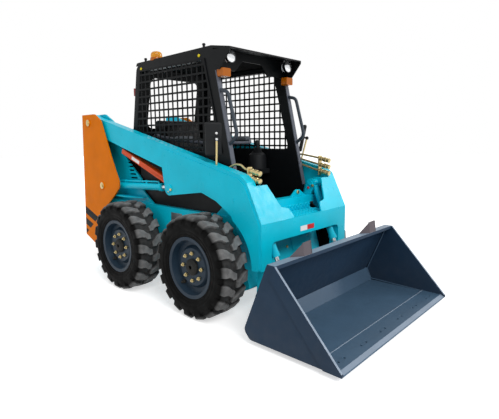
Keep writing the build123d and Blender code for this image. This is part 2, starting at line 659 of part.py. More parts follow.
LAMP_R = 46
LAMP_X, LAMP_Y, LAMP_Z = 470, 345, CAB_TOP_Z - 42
with BuildPart() as work_lamps:
    with BuildSketch(Plane.YZ.offset(LAMP_X)):
        with Locations((-LAMP_Y, LAMP_Z), (LAMP_Y, LAMP_Z)):
            Circle(LAMP_R - 10)
    extrude(amount=30, taper=-15)
    with BuildSketch(Plane.YZ.offset(LAMP_X + 30)):
        with Locations((-LAMP_Y, LAMP_Z), (LAMP_Y, LAMP_Z)):
            Circle(LAMP_R)
    extrude(amount=18, taper=12)
    with BuildSketch(Plane.XY.offset(LAMP_Z)):
        with Locations((LAMP_X + 15, -LAMP_Y), (LAMP_X + 15, LAMP_Y)):
            Rectangle(16, 24)
    extrude(until=Until.NEXT, target=cab_roof.part)
write("work_lamps", work_lamps.part)

with BuildPart() as turn_lamps:
    with BuildSketch(Plane.YZ.offset(448)):
        with Locations((-383, 1798), (383, 1798)):
            RectangleRounded(92, 68, 12)
    extrude(amount=58, taper=4)
    add(cab_side_frames.part, mode=Mode.SUBTRACT)
    add(cab_front_posts.part, mode=Mode.SUBTRACT)
    add(cab_roof.part, mode=Mode.SUBTRACT)
write("turn_lamps", turn_lamps.part)

BEACON_X = -330
ROOF_SLOPE = 16 / (ROOF_RIDGE_X - CAB_REAR_TOP[0] - 4)
BEACON_SEAT = Plane(origin=(BEACON_X, -385, ROOF_TOP_Z - (ROOF_RIDGE_X - BEACON_X) * ROOF_SLOPE),
                    x_dir=(0, 1, 0),
                    z_dir=(-ROOF_SLOPE, 0, 1))
with BuildPart() as beacon:
    with BuildSketch(BEACON_SEAT):
        Circle(46)
    extrude(amount=18)
    with BuildSketch(BEACON_SEAT.offset(18)):
        Circle(40)
    extrude(amount=56)
    fillet(beacon.edges().group_by(Axis.Z)[-1], radius=28)
write("beacon", beacon.part)

with BuildPart() as tail_lamps:
    with BuildSketch(Plane.XZ.offset(372)):
        with BuildLine():
            Polyline((cab_rear_x(1768), 1768), (-665, 1768), (-665, 1700), (cab_rear_x(1700), 1700),
                     close=True)
        make_face()
    extrude(amount=56)
    mirror(about=Plane.XZ)
write("tail_lamps", tail_lamps.part)

# ---- Lift arm ----------------------------------------------------------------------------
# columns: x, z, corner radius
ARM_BELLY = [(700, 760, 0), (547, 852, 60), (385, 904, 60), (-15, 849, 0), (-67, 881, 0), (-90, 990, 0),
             (-102, 1072, 0)]
ARM_SIDE = [(-1290, 1553, 0), (790, 1056, 40), (*SLOPE_TOP, 30), (ARM_FRONT_X, CROSS_TOP, 0),
            (ARM_FRONT_X, 400, 30), (ARM_FRONT_X - 130, 400, 0), *ARM_BELLY, (-1290, 1390, 0)]
DOUBLER_SIDE = [(-96, 1236, 30), (778, 1029, 40), (832, 988, 30), (ARM_FRONT_X - 20, CROSS_TOP - 6, 0),
                (ARM_FRONT_X - 20, 395, 30), (ARM_FRONT_X - 112, 395, 20), *ARM_BELLY]
LEG_SIDE = [(ARM_FRONT_X - 1, 700), (ARM_FRONT_X - 1, 420), (BUCKET_PIN_X + 44, BUCKET_PIN_Z + 10),
            (BUCKET_PIN_X - 44, BUCKET_PIN_Z + 10), (905, 480), (850, 600)]
TILT_EAR_INNER = TILT_Y - TILT_BARREL_R - 15
BEAM_X, BEAM_Z, BEAM_DEPTH, BEAM_HEIGHT = 728, 800, 80, 60
# Half of the front plate, from the cross plate up the slope: columns y, distance up the slope
SLOPE_PLATE = [(ARM_OUTER - 20, 0), (182, 0), (182, 20), (208, 78), (282, 94), (352, 276),
               (ARM_OUTER - 20, 276)]
SLOPE = Plane(origin=(ARM_FRONT_X, 0, CROSS_TOP), x_dir=(0, 1, 0),
              z_dir=(SLOPE_TOP[1] - CROSS_TOP, 0, ARM_FRONT_X - SLOPE_TOP[0]))

with BuildPart() as arm_right:
    with BuildSketch(Plane.XZ.offset(ARM_INNER)):
        with BuildLine():
            FilletPolyline(*corners(ARM_SIDE), radius=radii(ARM_SIDE), close=True)
        make_face()
        with Locations((PIVOT_X, PIVOT_Z)):
            Circle(ARM_END_R)
        with Locations((ROD_PIN_X, ROD_PIN_Z)):
            Circle(60)
    extrude(amount=ARM_OUTER - ARM_INNER)
    with BuildSketch(Plane.XZ.offset(ARM_OUTER)):
        with BuildLine():
            FilletPolyline(*corners(DOUBLER_SIDE), radius=radii(DOUBLER_SIDE), close=True)
        make_face()
        with Locations((ROD_PIN_X, ROD_PIN_Z)):
            Circle(60)
    extrude(amount=DOUBLER)
    with BuildSketch(Plane.XZ.offset(ARM_INNER)):
        with Locations((FRONT_AXLE_X, AXLE_Z)):
            Circle(TYRE_R + TYRE_GAP)
        with Locations((PIVOT_X, PIVOT_Z)):
            Circle(PIN_R + PIN_FIT)
    extrude(amount=ARM_OUTER - ARM_INNER + DOUBLER, mode=Mode.SUBTRACT)
    with BuildSketch(Plane.XZ.offset(LEG_INNER)):
        with BuildLine():
            Polyline(*LEG_SIDE, close=True)
        make_face()
        with Locations((BUCKET_PIN_X, BUCKET_PIN_Z)):
            Circle(LEG_END_R)
            Circle(PIN_R + PIN_FIT, mode=Mode.SUBTRACT)
    extrude(amount=LEG_OUTER - LEG_INNER)
    with BuildSketch(Plane.XZ.offset(ARM_INNER + CLEVIS_PLATE)):
        with Locations((-50, 898)):
            Rectangle(210, 204)
    extrude(amount=ARM_OUTER - ARM_INNER - 2 * CLEVIS_PLATE, mode=Mode.SUBTRACT)
    with BuildSketch(Plane.XZ.offset(ARM_INNER)):
        with Locations(PROP_PIVOT):
            Circle(PROP_PIN_R)
    extrude(amount=ARM_OUTER - ARM_INNER)
    with BuildSketch(Plane.XZ.offset(TILT_Y + 30)):
        with BuildLine():
            Polyline((745, 975), (812, 975), (820, 920), (730, 920), close=True)
        make_face()
        with Locations((TILT_TOP_X, TILT_TOP_Z)):
            Circle(45)
    extrude(amount=ARM_INNER - TILT_Y - 30)
    with BuildSketch(Plane.XZ.offset(TILT_EAR_INNER - CLEVIS_PLATE)):
        with BuildLine():
            Polyline((BEAM_X - 30, BEAM_Z), (BEAM_X + 30, BEAM_Z), (TILT_TOP_X + 34, TILT_TOP_Z - 16),
                     (TILT_TOP_X - 34, TILT_TOP_Z + 16), close=True)
        make_face()
        with Locations((TILT_TOP_X, TILT_TOP_Z)):
            Circle(38)
    extrude(amount=CLEVIS_PLATE)
    with BuildSketch(Plane.XZ.offset(TILT_EAR_INNER - CLEVIS_PLATE - 8)):
        with Locations((TILT_TOP_X, TILT_TOP_Z)):
            Circle(PIN_R)
    extrude(amount=TILT_Y + 30 - TILT_EAR_INNER + CLEVIS_PLATE + 8)

# columns: y, z on the front of the cross beam
BEAM_LUG = [(70, BEAM_Z), (325, BEAM_Z), (300, 836), (224, 884), (176, 884)]
with BuildPart() as lift_arm:
    add(arm_right.part)
    mirror(about=Plane.XZ)
    with BuildSketch(Plane.YZ.offset(ARM_FRONT_X - CROSS_PLATE)):
        with Locations((0, (CROSS_TOP + 400) / 2)):
            Rectangle(2 * (ARM_OUTER - 2), CROSS_TOP - 400)
        with Locations((0, (CROSS_OPENING_TOP + 380) / 2)):
            Rectangle(2 * CROSS_OPENING_HALF, CROSS_OPENING_TOP - 380, mode=Mode.SUBTRACT)
    extrude(amount=CROSS_PLATE)
    opening_corners = lift_arm.edges().filter_by(Axis.X).filter_by_position(
        Axis.Z, CROSS_OPENING_TOP - 1, CROSS_OPENING_TOP + 1)
    fillet(opening_corners, radius=40)
    with BuildSketch(Plane.XZ.offset(-ARM_INNER)):
        with Locations((BEAM_X, BEAM_Z)):
            Rectangle(BEAM_DEPTH, BEAM_HEIGHT)
    extrude(amount=2 * ARM_INNER)
    with BuildSketch(Plane.YZ.offset(BEAM_X - 6)):
        with BuildLine():
            FilletPolyline(*BEAM_LUG, radius=[0, 0, 10, 24, 24], close=True)
        make_face()
        with Locations((200, 862)):
            Circle(11, mode=Mode.SUBTRACT)
    extrude(amount=12)
    for side in (1, -1):
        with BuildSketch(SLOPE):
            with BuildLine():
                Polyline(*[(side * y, up) for y, up in SLOPE_PLATE], close=True)
            make_face()
        extrude(amount=-CROSS_PLATE)
write("lift_arm", lift_arm.part)

# A grip plate between the two halves of the front plate.
TREAD_HOLES = (4, 7)           # along, across
with BuildPart() as arm_step:
    with BuildSketch(Plane.XY.offset(CROSS_TOP - 14)):
        with Locations(((BEAM_X + BEAM_DEPTH / 2 + ARM_FRONT_X - CROSS_PLATE) / 2, 30)):
            Rectangle(ARM_FRONT_X - CROSS_PLATE - BEAM_X - BEAM_DEPTH / 2, 400)
            with GridLocations(42, 52, *TREAD_HOLES):
                RegularPolygon(12, 4, mode=Mode.SUBTRACT)
    extrude(amount=SHEET)
    with BuildSketch(Plane.YZ.offset(BEAM_X + BEAM_DEPTH / 2)):
        with Locations((30, CROSS_TOP + 14)):
            Rectangle(400, 56)
    extrude(amount=SHEET)
write("arm_step", arm_step.part)

PROP_LINE = Plane(origin=(PROP_PIVOT[0], -(CYLINDER_Y - PROP_HALF), PROP_PIVOT[1]),
                  x_dir=(cos(radians(PROP_ANGLE)), 0, sin(radians(PROP_ANGLE))), z_dir=(0, -1, 0))
with BuildPart() as arm_prop:
    with BuildSketch(PROP_LINE):
        with Locations((PROP_LENGTH / 2, 0)):
            Rectangle(PROP_LENGTH, 2 * PROP_DEPTH)
        Circle(PROP_DEPTH)
    extrude(amount=2 * PROP_HALF)
    with BuildSketch(PROP_LINE.offset(PROP_SHEET)):
        with Locations((PROP_LENGTH / 2, PROP_SHEET)):
            Rectangle(PROP_LENGTH + 4 * PROP_DEPTH, 2 * PROP_DEPTH)
    extrude(amount=2 * (PROP_HALF - PROP_SHEET), mode=Mode.SUBTRACT)
    with BuildSketch(PROP_LINE):
        Circle(PROP_PIN_R + PIN_FIT)
    extrude(amount=2 * PROP_HALF, mode=Mode.SUBTRACT)
write("arm_prop", arm_prop.part)

with BuildPart() as mirrors:
    with BuildSketch(Plane(origin=(575, -530, 1080))):
        Circle(8)
    extrude(amount=240)
    with BuildSketch(Plane.YZ.offset(546)):
        with Locations((-560, 1313)):
            RectangleRounded(150, 226, 30)
    extrude(amount=28)
    mirror(about=Plane.XZ)
    add(lift_arm.part, mode=Mode.SUBTRACT)
write("mirrors", mirrors.part)

# columns: side, heights of the quick couplers
AUX_COUPLERS = [(-1, [1013, 1062]), (1, [1006, 1060, 1114])]
AUX_Y = 444
AUX_TIP_X = 885
with BuildPart() as aux_couplers:
    for side, heights in AUX_COUPLERS:
        with BuildSketch(Plane.YZ.offset(AUX_TIP_X - 95)):
            with Locations((side * (AUX_Y + ARM_INNER - 24) / 2, sum(heights) / len(heights))):
                Rectangle(ARM_INNER - AUX_Y + 24, max(heights) - min(heights) + 50)
        extrude(amount=12)
        with BuildSketch(Plane.YZ.offset(AUX_TIP_X - 165)):
            with Locations(*[(side * AUX_Y, z) for z in heights]):
                Circle(10)
        extrude(amount=160)
        with BuildSketch(Plane.YZ.offset(AUX_TIP_X - 75)):
            with Locations(*[(side * AUX_Y, z) for z in heights]):
                Circle(18)
        extrude(amount=75)
write("aux_couplers", aux_couplers.part)

# ---- Cylinders ---------------------------------------------------------------------------
def cylinder_plane(x, z, to_x, to_z, y):
    """Plane at the first pin, its normal along the cylinder, its x direction across."""
    return Plane(origin=(x, -y, z), x_dir=(0, -1, 0), z_dir=(to_x - x, 0, to_z - z))


LIFT_LINE = cylinder_plane(BASE_PIN_X, BASE_PIN_Z, ROD_PIN_X, ROD_PIN_Z, CYLINDER_Y)
TILT_LINE = cylinder_plane(TILT_TOP_X, TILT_TOP_Z, TILT_LOW_X, TILT_LOW_Z, TILT_Y)
LIFT_LENGTH = ((ROD_PIN_X - BASE_PIN_X) ** 2 + (ROD_PIN_Z - BASE_PIN_Z) ** 2) ** 0.5
TILT_LENGTH = ((TILT_LOW_X - TILT_TOP_X) ** 2 + (TILT_LOW_Z - TILT_TOP_Z) ** 2) ** 0.5
ROD_CLEARANCE = 0.5

GLAND = 5                    # the gland nut stands proud of the barrel
GLAND_LENGTH = 34

# columns: name, line, pin x, pin z, y, eye radius, eye half width, barrel radius, barrel start, end,
#          rod start, rod radius, distance between pins, far pin x, far pin z
CYLINDERS = [("lift", LIFT_LINE, BASE_PIN_X, BASE_PIN_Z, CYLINDER_Y, EYE_R, EYE_HALF, BARREL_R, 50,
              LIFT_BARREL_END, 110, ROD_R, LIFT_LENGTH, ROD_PIN_X, ROD_PIN_Z),
             ("tilt", TILT_LINE, TILT_TOP_X, TILT_TOP_Z, TILT_Y, TILT_EYE_R, TILT_EYE_HALF, TILT_BARREL_R,
              40, TILT_BARREL_END, 142, TILT_ROD_R, TILT_LENGTH, TILT_LOW_X, TILT_LOW_Z)]
for (name, line, x, z, y, eye_r, eye_half, barrel_r, start, end, rod_start, rod_r, length, far_x,
     far_z) in CYLINDERS:
    with BuildPart() as barrel:
        with BuildSketch(line.offset(start - 12)):
            Circle(barrel_r)
        extrude(amount=end - start + 12)
        with BuildSketch(line.offset(end - GLAND_LENGTH)):
            Circle(barrel_r + GLAND)
        extrude(amount=GLAND_LENGTH)
        with BuildSketch(Plane.XZ.offset(y - eye_half)):
            with Locations((x, z)):
                Circle(eye_r)
        extrude(amount=2 * eye_half)
        with BuildSketch(Plane.XZ.offset(y - eye_half)):
            with Locations((x, z)):
                Circle(PIN_R + PIN_FIT)
        extrude(amount=2 * eye_half, mode=Mode.SUBTRACT)
        with BuildSketch(line.offset(start + 20)):
            Circle(rod_r + ROD_CLEARANCE)
        extrude(amount=end, mode=Mode.SUBTRACT)
        mirror(about=Plane.XZ)
    write(f"{name}_cylinder_barrels", barrel.part)
    with BuildPart() as rod:
        with BuildSketch(line.offset(rod_start)):
            Circle(rod_r)
        extrude(amount=length - rod_start - eye_r + 6)
        with BuildSketch(Plane.XZ.offset(y - eye_half)):
            with Locations((far_x, far_z)):
                Circle(eye_r)
                Circle(PIN_R, mode=Mode.SUBTRACT)
        extrude(amount=2 * eye_half)
        mirror(about=Plane.XZ)
    write(f"{name}_cylinder_rods", rod.part)

# ---- Bucket and its coupler --------------------------------------------------------------
# columns: x, z, corner radius
BUCKET_SIDE_VIEW = [(EDGE_X, BUCKET_FLOOR_Z, 0), (EDGE_X, 50, 0), (1300, 558, 0), (1237, 559, 0),
                    (1041, 91, 40), (1092, BUCKET_FLOOR_Z, 40)]
BUCKET_HOLLOW = [(EDGE_X + 40, BUCKET_FLOOR_Z + BUCKET_SHEET, 0), (1300, 600, 0), (1300, 535, 0),
                 (1240, 535, 0), (1076, 140, 10), (1125, BUCKET_FLOOR_Z + BUCKET_SHEET, 10)]
CUTTER_SIDE = [(1300, 558), (EDGE_X, 50), (EDGE_X, BUCKET_FLOOR_Z), (EDGE_X - 120, BUCKET_FLOOR_Z),
               (1262, 475)]
SHELL_HALF = BUCKET_HALF - SIDE_CUTTER
HOLLOW_HALF = SHELL_HALF - BUCKET_SIDE
with BuildPart() as bucket_shell:
    with BuildSketch(Plane.XZ.offset(-SHELL_HALF)):
        with BuildLine():
            FilletPolyline(*corners(BUCKET_SIDE_VIEW), radius=radii(BUCKET_SIDE_VIEW), close=True)
        make_face()
    extrude(amount=2 * SHELL_HALF)
    with BuildSketch(Plane.XZ.offset(-HOLLOW_HALF)):
        with BuildLine():
            FilletPolyline(*corners(BUCKET_HOLLOW), radius=radii(BUCKET_HOLLOW), close=True)
        make_face()
    extrude(amount=2 * HOLLOW_HALF, mode=Mode.SUBTRACT)
    with BuildSketch(Plane.XY.offset(BUCKET_FLOOR_Z)):
        with Locations((EDGE_X - EDGE_WIDTH / 2, 0)):
            Rectangle(EDGE_WIDTH, 2 * HOLLOW_HALF)
    extrude(amount=EDGE_THICKNESS, mode=Mode.SUBTRACT)
    for side in (1, -1):
        with BuildSketch(Plane.XZ.offset(side * SHELL_HALF)):
            with BuildLine():
                Polyline(*CUTTER_SIDE, close=True)
            make_face()
        extrude(amount=side * SIDE_CUTTER)
write("bucket_shell", bucket_shell.part)

with BuildPart() as cutting_edge:
    with BuildSketch(Plane.XZ.offset(-HOLLOW_HALF)):
        with BuildLine():
            Polyline((EDGE_X - EDGE_WIDTH, BUCKET_FLOOR_Z), (EDGE_X, BUCKET_FLOOR_Z),
                     (EDGE_X, BUCKET_FLOOR_Z + 4), (EDGE_X - 34, BUCKET_FLOOR_Z + EDGE_THICKNESS),
                     (EDGE_X - EDGE_WIDTH, BUCKET_FLOOR_Z + EDGE_THICKNESS), close=True)
        make_face()
    extrude(amount=2 * HOLLOW_HALF)
    with BuildSketch(Plane.XY.offset(BUCKET_FLOOR_Z)):
        for pair in range(EDGE_PAIRS):
            middle = (pair - (EDGE_PAIRS - 1) / 2) * EDGE_PAIR_PITCH
            with Locations((EDGE_X - 90, middle - EDGE_HOLE_PITCH / 2),
                           (EDGE_X - 90, middle + EDGE_HOLE_PITCH / 2)):
                Circle(EDGE_HOLE_R)
    extrude(amount=EDGE_THICKNESS, mode=Mode.SUBTRACT)
write("cutting_edge", cutting_edge.part)

BACK_SLOPE = (1237 - 1041) / (559 - 91)


def back_x(z):
    """Outside face of the bucket's back at height z."""
    return 1041 + (z - 91) * BACK_SLOPE


# Wedges on the lip, seen from the front: columns y, z
LIP_Z = 559
STEP_DEPTH = 60
STEP_OUTLINES = [[(-566, LIP_Z), (-439, 603), (-312, 620), (-300, LIP_Z)],
                 [(329, LIP_Z), (408, 590), (600, 615), (628, LIP_Z)]]
with BuildPart() as bucket_steps:
    for outline in STEP_OUTLINES:
        with BuildSketch(Plane.YZ.offset(back_x(LIP_Z) - 30)):
            with BuildLine():
                Polyline(*outline, close=True)
            make_face()
        extrude(amount=STEP_DEPTH)
        with BuildSketch(Plane.XZ.offset(-outline[2][0])):
            with BuildLine():
                Polyline((back_x(LIP_Z), LIP_Z), (back_x(500), 500), (back_x(LIP_Z) - 30, LIP_Z),
                         close=True)
            make_face()
        extrude(amount=outline[2][0] - outline[1][0])
write("bucket_steps", bucket_steps.part)

# Coupler: a sloping plate behind the bucket with ears for the arm and the tilt rods.
COUPLER_PLATE = 13             # measured level
COUPLER_HALF = 560
EARS = [(LEG_INNER - PIN_GAP - 12, LEG_INNER - PIN_GAP), (LEG_OUTER + PIN_GAP, LEG_OUTER + PIN_GAP + 12)]
TILT_EARS = [(TILT_Y - TILT_EYE_HALF - 6 - 12, TILT_Y - TILT_EYE_HALF - 6),
             (TILT_Y + TILT_EYE_HALF + 6, TILT_Y + TILT_EYE_HALF + 6 + 12)]
with BuildPart() as coupler_frame:
    with BuildSketch(Plane.XZ.offset(-COUPLER_HALF)):
        with BuildLine():
            Polyline((back_x(110), 110), (back_x(485), 485), (back_x(485) - COUPLER_PLATE, 485),
                     (back_x(110) - COUPLER_PLATE, 110), close=True)
        make_face()
    extrude(amount=2 * COUPLER_HALF)
    for y_from, y_to in EARS:
        for side in (1, -1):
            with BuildSketch(Plane.XZ.offset(side * y_from)):
                with BuildLine():
                    Polyline((back_x(115) - COUPLER_PLATE, 115), (back_x(330) - COUPLER_PLATE, 330),
                             (BUCKET_PIN_X - 20, BUCKET_PIN_Z + 40),
                             (BUCKET_PIN_X - 20, BUCKET_PIN_Z - 40),
                             close=True)
                make_face()
                with Locations((BUCKET_PIN_X, BUCKET_PIN_Z)):
                    Circle(42)
            extrude(amount=side * (y_to - y_from))
    for y_from, y_to in TILT_EARS:
        for side in (1, -1):
            with BuildSketch(Plane.XZ.offset(side * y_from)):
                with BuildLine():
                    Polyline((back_x(230) - COUPLER_PLATE, 230), (back_x(450) - COUPLER_PLATE, 450),
                             (TILT_LOW_X - 10, TILT_LOW_Z + 36), (TILT_LOW_X - 30, TILT_LOW_Z - 30),
                             close=True)
                make_face()
                with Locations((TILT_LOW_X, TILT_LOW_Z)):
                    Circle(38)
            extrude(amount=side * (y_to - y_from))
    for side in (1, -1):
        with BuildSketch(Plane.XZ.offset(side * EARS[0][0])):
            with Locations((BUCKET_PIN_X, BUCKET_PIN_Z)):
                Circle(PIN_R)
        extrude(amount=side * (EARS[1][1] - EARS[0][0] + 10))
write("coupler_frame", coupler_frame.part)
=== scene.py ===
"""Skid steer loader: finishes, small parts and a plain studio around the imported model.

Metres, +X forward, +Y to the machine's left, +Z up, with the origin on the ground under the
middle of the machine.  Small parts are written in the CAD's millimetres from mid-wheelbase.
"""
import json
from math import cos, pi, radians, sin

import bmesh
import bpy
from mathutils import Matrix, Vector


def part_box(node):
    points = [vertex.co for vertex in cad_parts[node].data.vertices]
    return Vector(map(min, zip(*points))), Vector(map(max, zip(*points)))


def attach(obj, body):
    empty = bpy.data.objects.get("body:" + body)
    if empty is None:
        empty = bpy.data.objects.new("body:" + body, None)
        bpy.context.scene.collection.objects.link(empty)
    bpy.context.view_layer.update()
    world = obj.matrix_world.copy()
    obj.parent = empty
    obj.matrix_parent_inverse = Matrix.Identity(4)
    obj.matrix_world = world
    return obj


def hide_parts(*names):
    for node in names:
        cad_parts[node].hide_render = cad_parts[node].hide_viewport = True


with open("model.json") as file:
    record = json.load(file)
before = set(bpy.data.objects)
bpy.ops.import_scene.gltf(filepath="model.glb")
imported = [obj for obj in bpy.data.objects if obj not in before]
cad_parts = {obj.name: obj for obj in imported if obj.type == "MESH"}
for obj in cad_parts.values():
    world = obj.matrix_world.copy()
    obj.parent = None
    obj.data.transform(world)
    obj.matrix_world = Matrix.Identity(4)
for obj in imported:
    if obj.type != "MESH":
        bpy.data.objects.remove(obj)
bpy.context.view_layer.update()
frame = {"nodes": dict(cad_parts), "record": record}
NODES = frame["nodes"]

# ---- Camera ------------------------------------------------------------------------------
CAMERA_PLACE = Vector((2.720, -2.704, 1.3125))
CAMERA_HEADING = 132.387        # degrees from +X
CAMERA_PITCH = -8.077
CAMERA_ROLL = -0.454
LENS = 31.156
SENSOR = 36.0
SHIFT = (-0.0039, -0.0207)


def make_camera():
    heading, pitch, roll = (radians(a) for a in (CAMERA_HEADING, CAMERA_PITCH, CAMERA_ROLL))
    ahead = Vector((cos(pitch) * cos(heading), cos(pitch) * sin(heading), sin(pitch)))
    level = ahead.cross(Vector((0, 0, 1))).normalized()
    upright = level.cross(ahead)
    right = level * cos(roll) + upright * sin(roll)
    up = upright * cos(roll) - level * sin(roll)
    turn = Matrix((right, up, -ahead)).transposed().to_4x4()
    data = bpy.data.cameras.new("camera")
    data.sensor_width = SENSOR
    data.lens = LENS
    data.shift_x, data.shift_y = SHIFT
    data.clip_end = 100
    camera = bpy.data.objects.new("camera", data)
    camera.matrix_world = Matrix.Translation(CAMERA_PLACE) @ turn
    bpy.context.collection.objects.link(camera)
    bpy.context.scene.camera = camera


make_camera()

# ---- Materials ---------------------------------------------------------------------------
DUST = "8A8274"
DUST_FULL, DUST_GONE = 0.05, 0.55       # heights in a part's own metres
GROOVE_RADIUS, HIGHLIGHT_RADIUS = 0.352, 0.385       # where the tread is black and where the painted highlight on the lug tops is full


def rgba(colour):
    """A linear colour from a grey, an sRGB hex string or a tuple."""
    if isinstance(colour, (int, float)):
        return (colour, colour, colour, 1)
    if isinstance(colour, str):
        channels = [int(colour[i:i + 2], 16) / 255 for i in (0, 2, 4)]
        return tuple(c / 12.92 if c <= 0.04045 else ((c + 0.055) / 1.055) ** 2.4 for c in channels) + (1,)
    return tuple(colour)[:3] + (1,)


def shade(colour, share):
    """A colour, lighter or darker by a share."""
    return tuple(min(1, c * share) for c in rgba(colour)[:3])


class Finish:
    """A material under construction: its tree, its shader and object coordinates."""

    def __init__(self, name):
        self.mat = bpy.data.materials.new(name)
        self.mat.use_nodes = True
        self.tree = self.mat.node_tree
        self.shader = self.tree.nodes["Principled BSDF"]
        self.place = self.tree.nodes.new("ShaderNodeTexCoord").outputs["Object"]

    def feed(self, target, value):
        """Set a socket, by a link or by a plain value."""
        if isinstance(value, bpy.types.NodeSocket):
            self.tree.links.new(value, target)
        else:
            target.default_value = value

    def put(self, socket_name, value):
        self.feed(self.shader.inputs[socket_name], value)

    def noise(self, scale, detail=3.0, stretch=(1, 1, 1)):
        mapping = self.tree.nodes.new("ShaderNodeMapping")
        mapping.inputs["Scale"].default_value = stretch
        self.feed(mapping.inputs["Vector"], self.place)
        node = self.tree.nodes.new("ShaderNodeTexNoise")
        node.inputs["Scale"].default_value = scale
        node.inputs["Detail"].default_value = detail
        self.feed(node.inputs["Vector"], mapping.outputs["Vector"])
        return node.outputs["Fac"]

    def ramp(self, factor, *stops):
        """Colour ramp with stops (position, grey or colour)."""
        node = self.tree.nodes.new("ShaderNodeValToRGB")
        self.feed(node.inputs["Fac"], factor)
        bar = node.color_ramp.elements
        while len(bar) < len(stops):
            bar.new(0.5)
        for element, (position, colour) in zip(bar, stops):
            element.position = position
            element.color = rgba(colour)
        return node.outputs["Color"]

    def maths(self, operation, first, second):
        node = self.tree.nodes.new("ShaderNodeMath")
        node.operation = operation
        self.feed(node.inputs[0], first)
        self.feed(node.inputs[1], second)
        return node.outputs[0]

    def blend(self, factor, first, second):
        node = self.tree.nodes.new("ShaderNodeMix")
        node.data_type = "RGBA"
        self.feed(node.inputs[0], factor)
        for target, value in ((node.inputs[6], first), (node.inputs[7], second)):
            self.feed(target, value if isinstance(value, bpy.types.NodeSocket) else rgba(value))
        return node.outputs[2]

    def axis(self, name):
        """One of the object's own coordinates, in metres."""
        split = self.tree.nodes.new("ShaderNodeSeparateXYZ")
        self.feed(split.inputs[0], self.place)
        return split.outputs[name]

    def bump(self, factor, depth, strength=1.0):
        node = self.tree.nodes.new("ShaderNodeBump")
        node.inputs["Strength"].default_value = strength
        node.inputs["Distance"].default_value = depth
        self.feed(node.inputs["Height"], factor)
        self.put("Normal", node.outputs["Normal"])


def paint(name, colour, roughness=0.35, dust=0.25, gloss=0.25):
    """Sprayed enamel: faint mottle, orange peel, and dust low on the machine."""
    made = Finish(name)
    mottle = made.ramp(made.noise(5), (0.35, 0), (0.65, 1))
    base = made.blend(mottle, shade(colour, 0.94), shade(colour, 1.05))
    low = made.ramp(made.axis("Z"), (DUST_FULL, dust), (DUST_GONE, 0))
    grime = made.maths("MULTIPLY", low, made.noise(14, 6))
    made.put("Base Color", made.blend(grime, base, DUST))
    made.put("Roughness", made.ramp(made.noise(22, 5), (0.3, roughness), (0.7, roughness + 0.12)))
    made.put("Specular IOR Level", gloss)
    made.bump(made.noise(420, 2), 0.00025, 0.5)
    return made.mat


def steel(name, colour, roughness=0.35, brushed=(1, 1, 1)):
    """Bare or plated metal with fine drawn marks."""
    made = Finish(name)
    streak = made.noise(60, 5, brushed)
    made.put("Base Color", made.blend(streak, shade(colour, 0.82), shade(colour, 1.12)))
    made.put("Metallic", 0.9)
    made.put("Roughness", made.ramp(streak, (0.3, roughness - 0.08), (0.7, roughness + 0.14)))
    made.bump(made.noise(260, 3, brushed), 0.0002, 0.4)
    return made.mat


def plastic(name, colour, roughness=0.5, grain=900, depth=0.0003, gloss=0.2):
    """Moulded plastic or vinyl with a leather-like grain."""
    made = Finish(name)
    made.put("Base Color", made.blend(made.noise(9, 4), shade(colour, 0.88), shade(colour, 1.12)))
    made.put("Roughness", made.ramp(made.noise(30, 4), (0.3, roughness - 0.06), (0.7, roughness + 0.08)))
    made.put("Specular IOR Level", gloss)
    cells = made.tree.nodes.new("ShaderNodeTexVoronoi")
    cells.inputs["Scale"].default_value = grain
    made.feed(cells.inputs["Vector"], made.place)
    made.bump(cells.outputs["Distance"], depth, 0.6)
    return made.mat


def rubber(name):
    """Tyre rubber: black in the grooves, lighter grey on the lug tops as a painted highlight."""
    made = Finish(name)
    from_axle = made.tree.nodes.new("ShaderNodeVectorMath")
    from_axle.operation = "LENGTH"
    flat = made.tree.nodes.new("ShaderNodeVectorMath")
    flat.operation = "MULTIPLY"
    flat.inputs[1].default_value = (1, 0, 1)
    made.feed(flat.inputs[0], made.place)
    made.feed(from_axle.inputs[0], flat.outputs[0])
    # Painted highlight: lighter towards the lug tops, in patches, and black in the grooves
    painted_highlight = made.ramp(from_axle.outputs["Value"], (GROOVE_RADIUS, 0), (HIGHLIGHT_RADIUS, 1))
    patches = made.ramp(made.noise(26, 6), (0.25, 0.45), (0.8, 1))
    made.put("Base Color", made.blend(made.maths("MULTIPLY", painted_highlight, patches), "030303", "868686"))
    made.put("Roughness", made.ramp(made.noise(18, 5), (0.3, 0.55), (0.7, 0.75)))
    made.put("Specular IOR Level", 0.08)
    made.bump(made.noise(300, 5), 0.0006, 0.5)
    return made.mat


def lens(name, colour, clear=0.0):
    """Moulded lens: ribbed plastic that lets a share of the light through."""
    made = Finish(name)
    made.put("Base Color", made.blend(made.noise(40, 2), shade(colour, 0.9), shade(colour, 1.1)))
    made.put("Roughness", 0.12)
    made.put("Transmission Weight", clear)
    made.put("Specular IOR Level", 0.25)
    made.put("Coat Weight", 0.08)
    made.put("Coat Roughness", 0.05)
    wave = made.tree.nodes.new("ShaderNodeTexWave")
    wave.inputs["Scale"].default_value = 60
    made.feed(wave.inputs["Vector"], made.place)
    made.bump(wave.outputs["Fac"], 0.0006, 0.4)
    return made.mat


def mixed(rows):
    """Materials by name, each made from a row of its kind, its colour and the kind's other values."""
    return {name: kind(name, *values) for name, (kind, *values) in rows.items()}


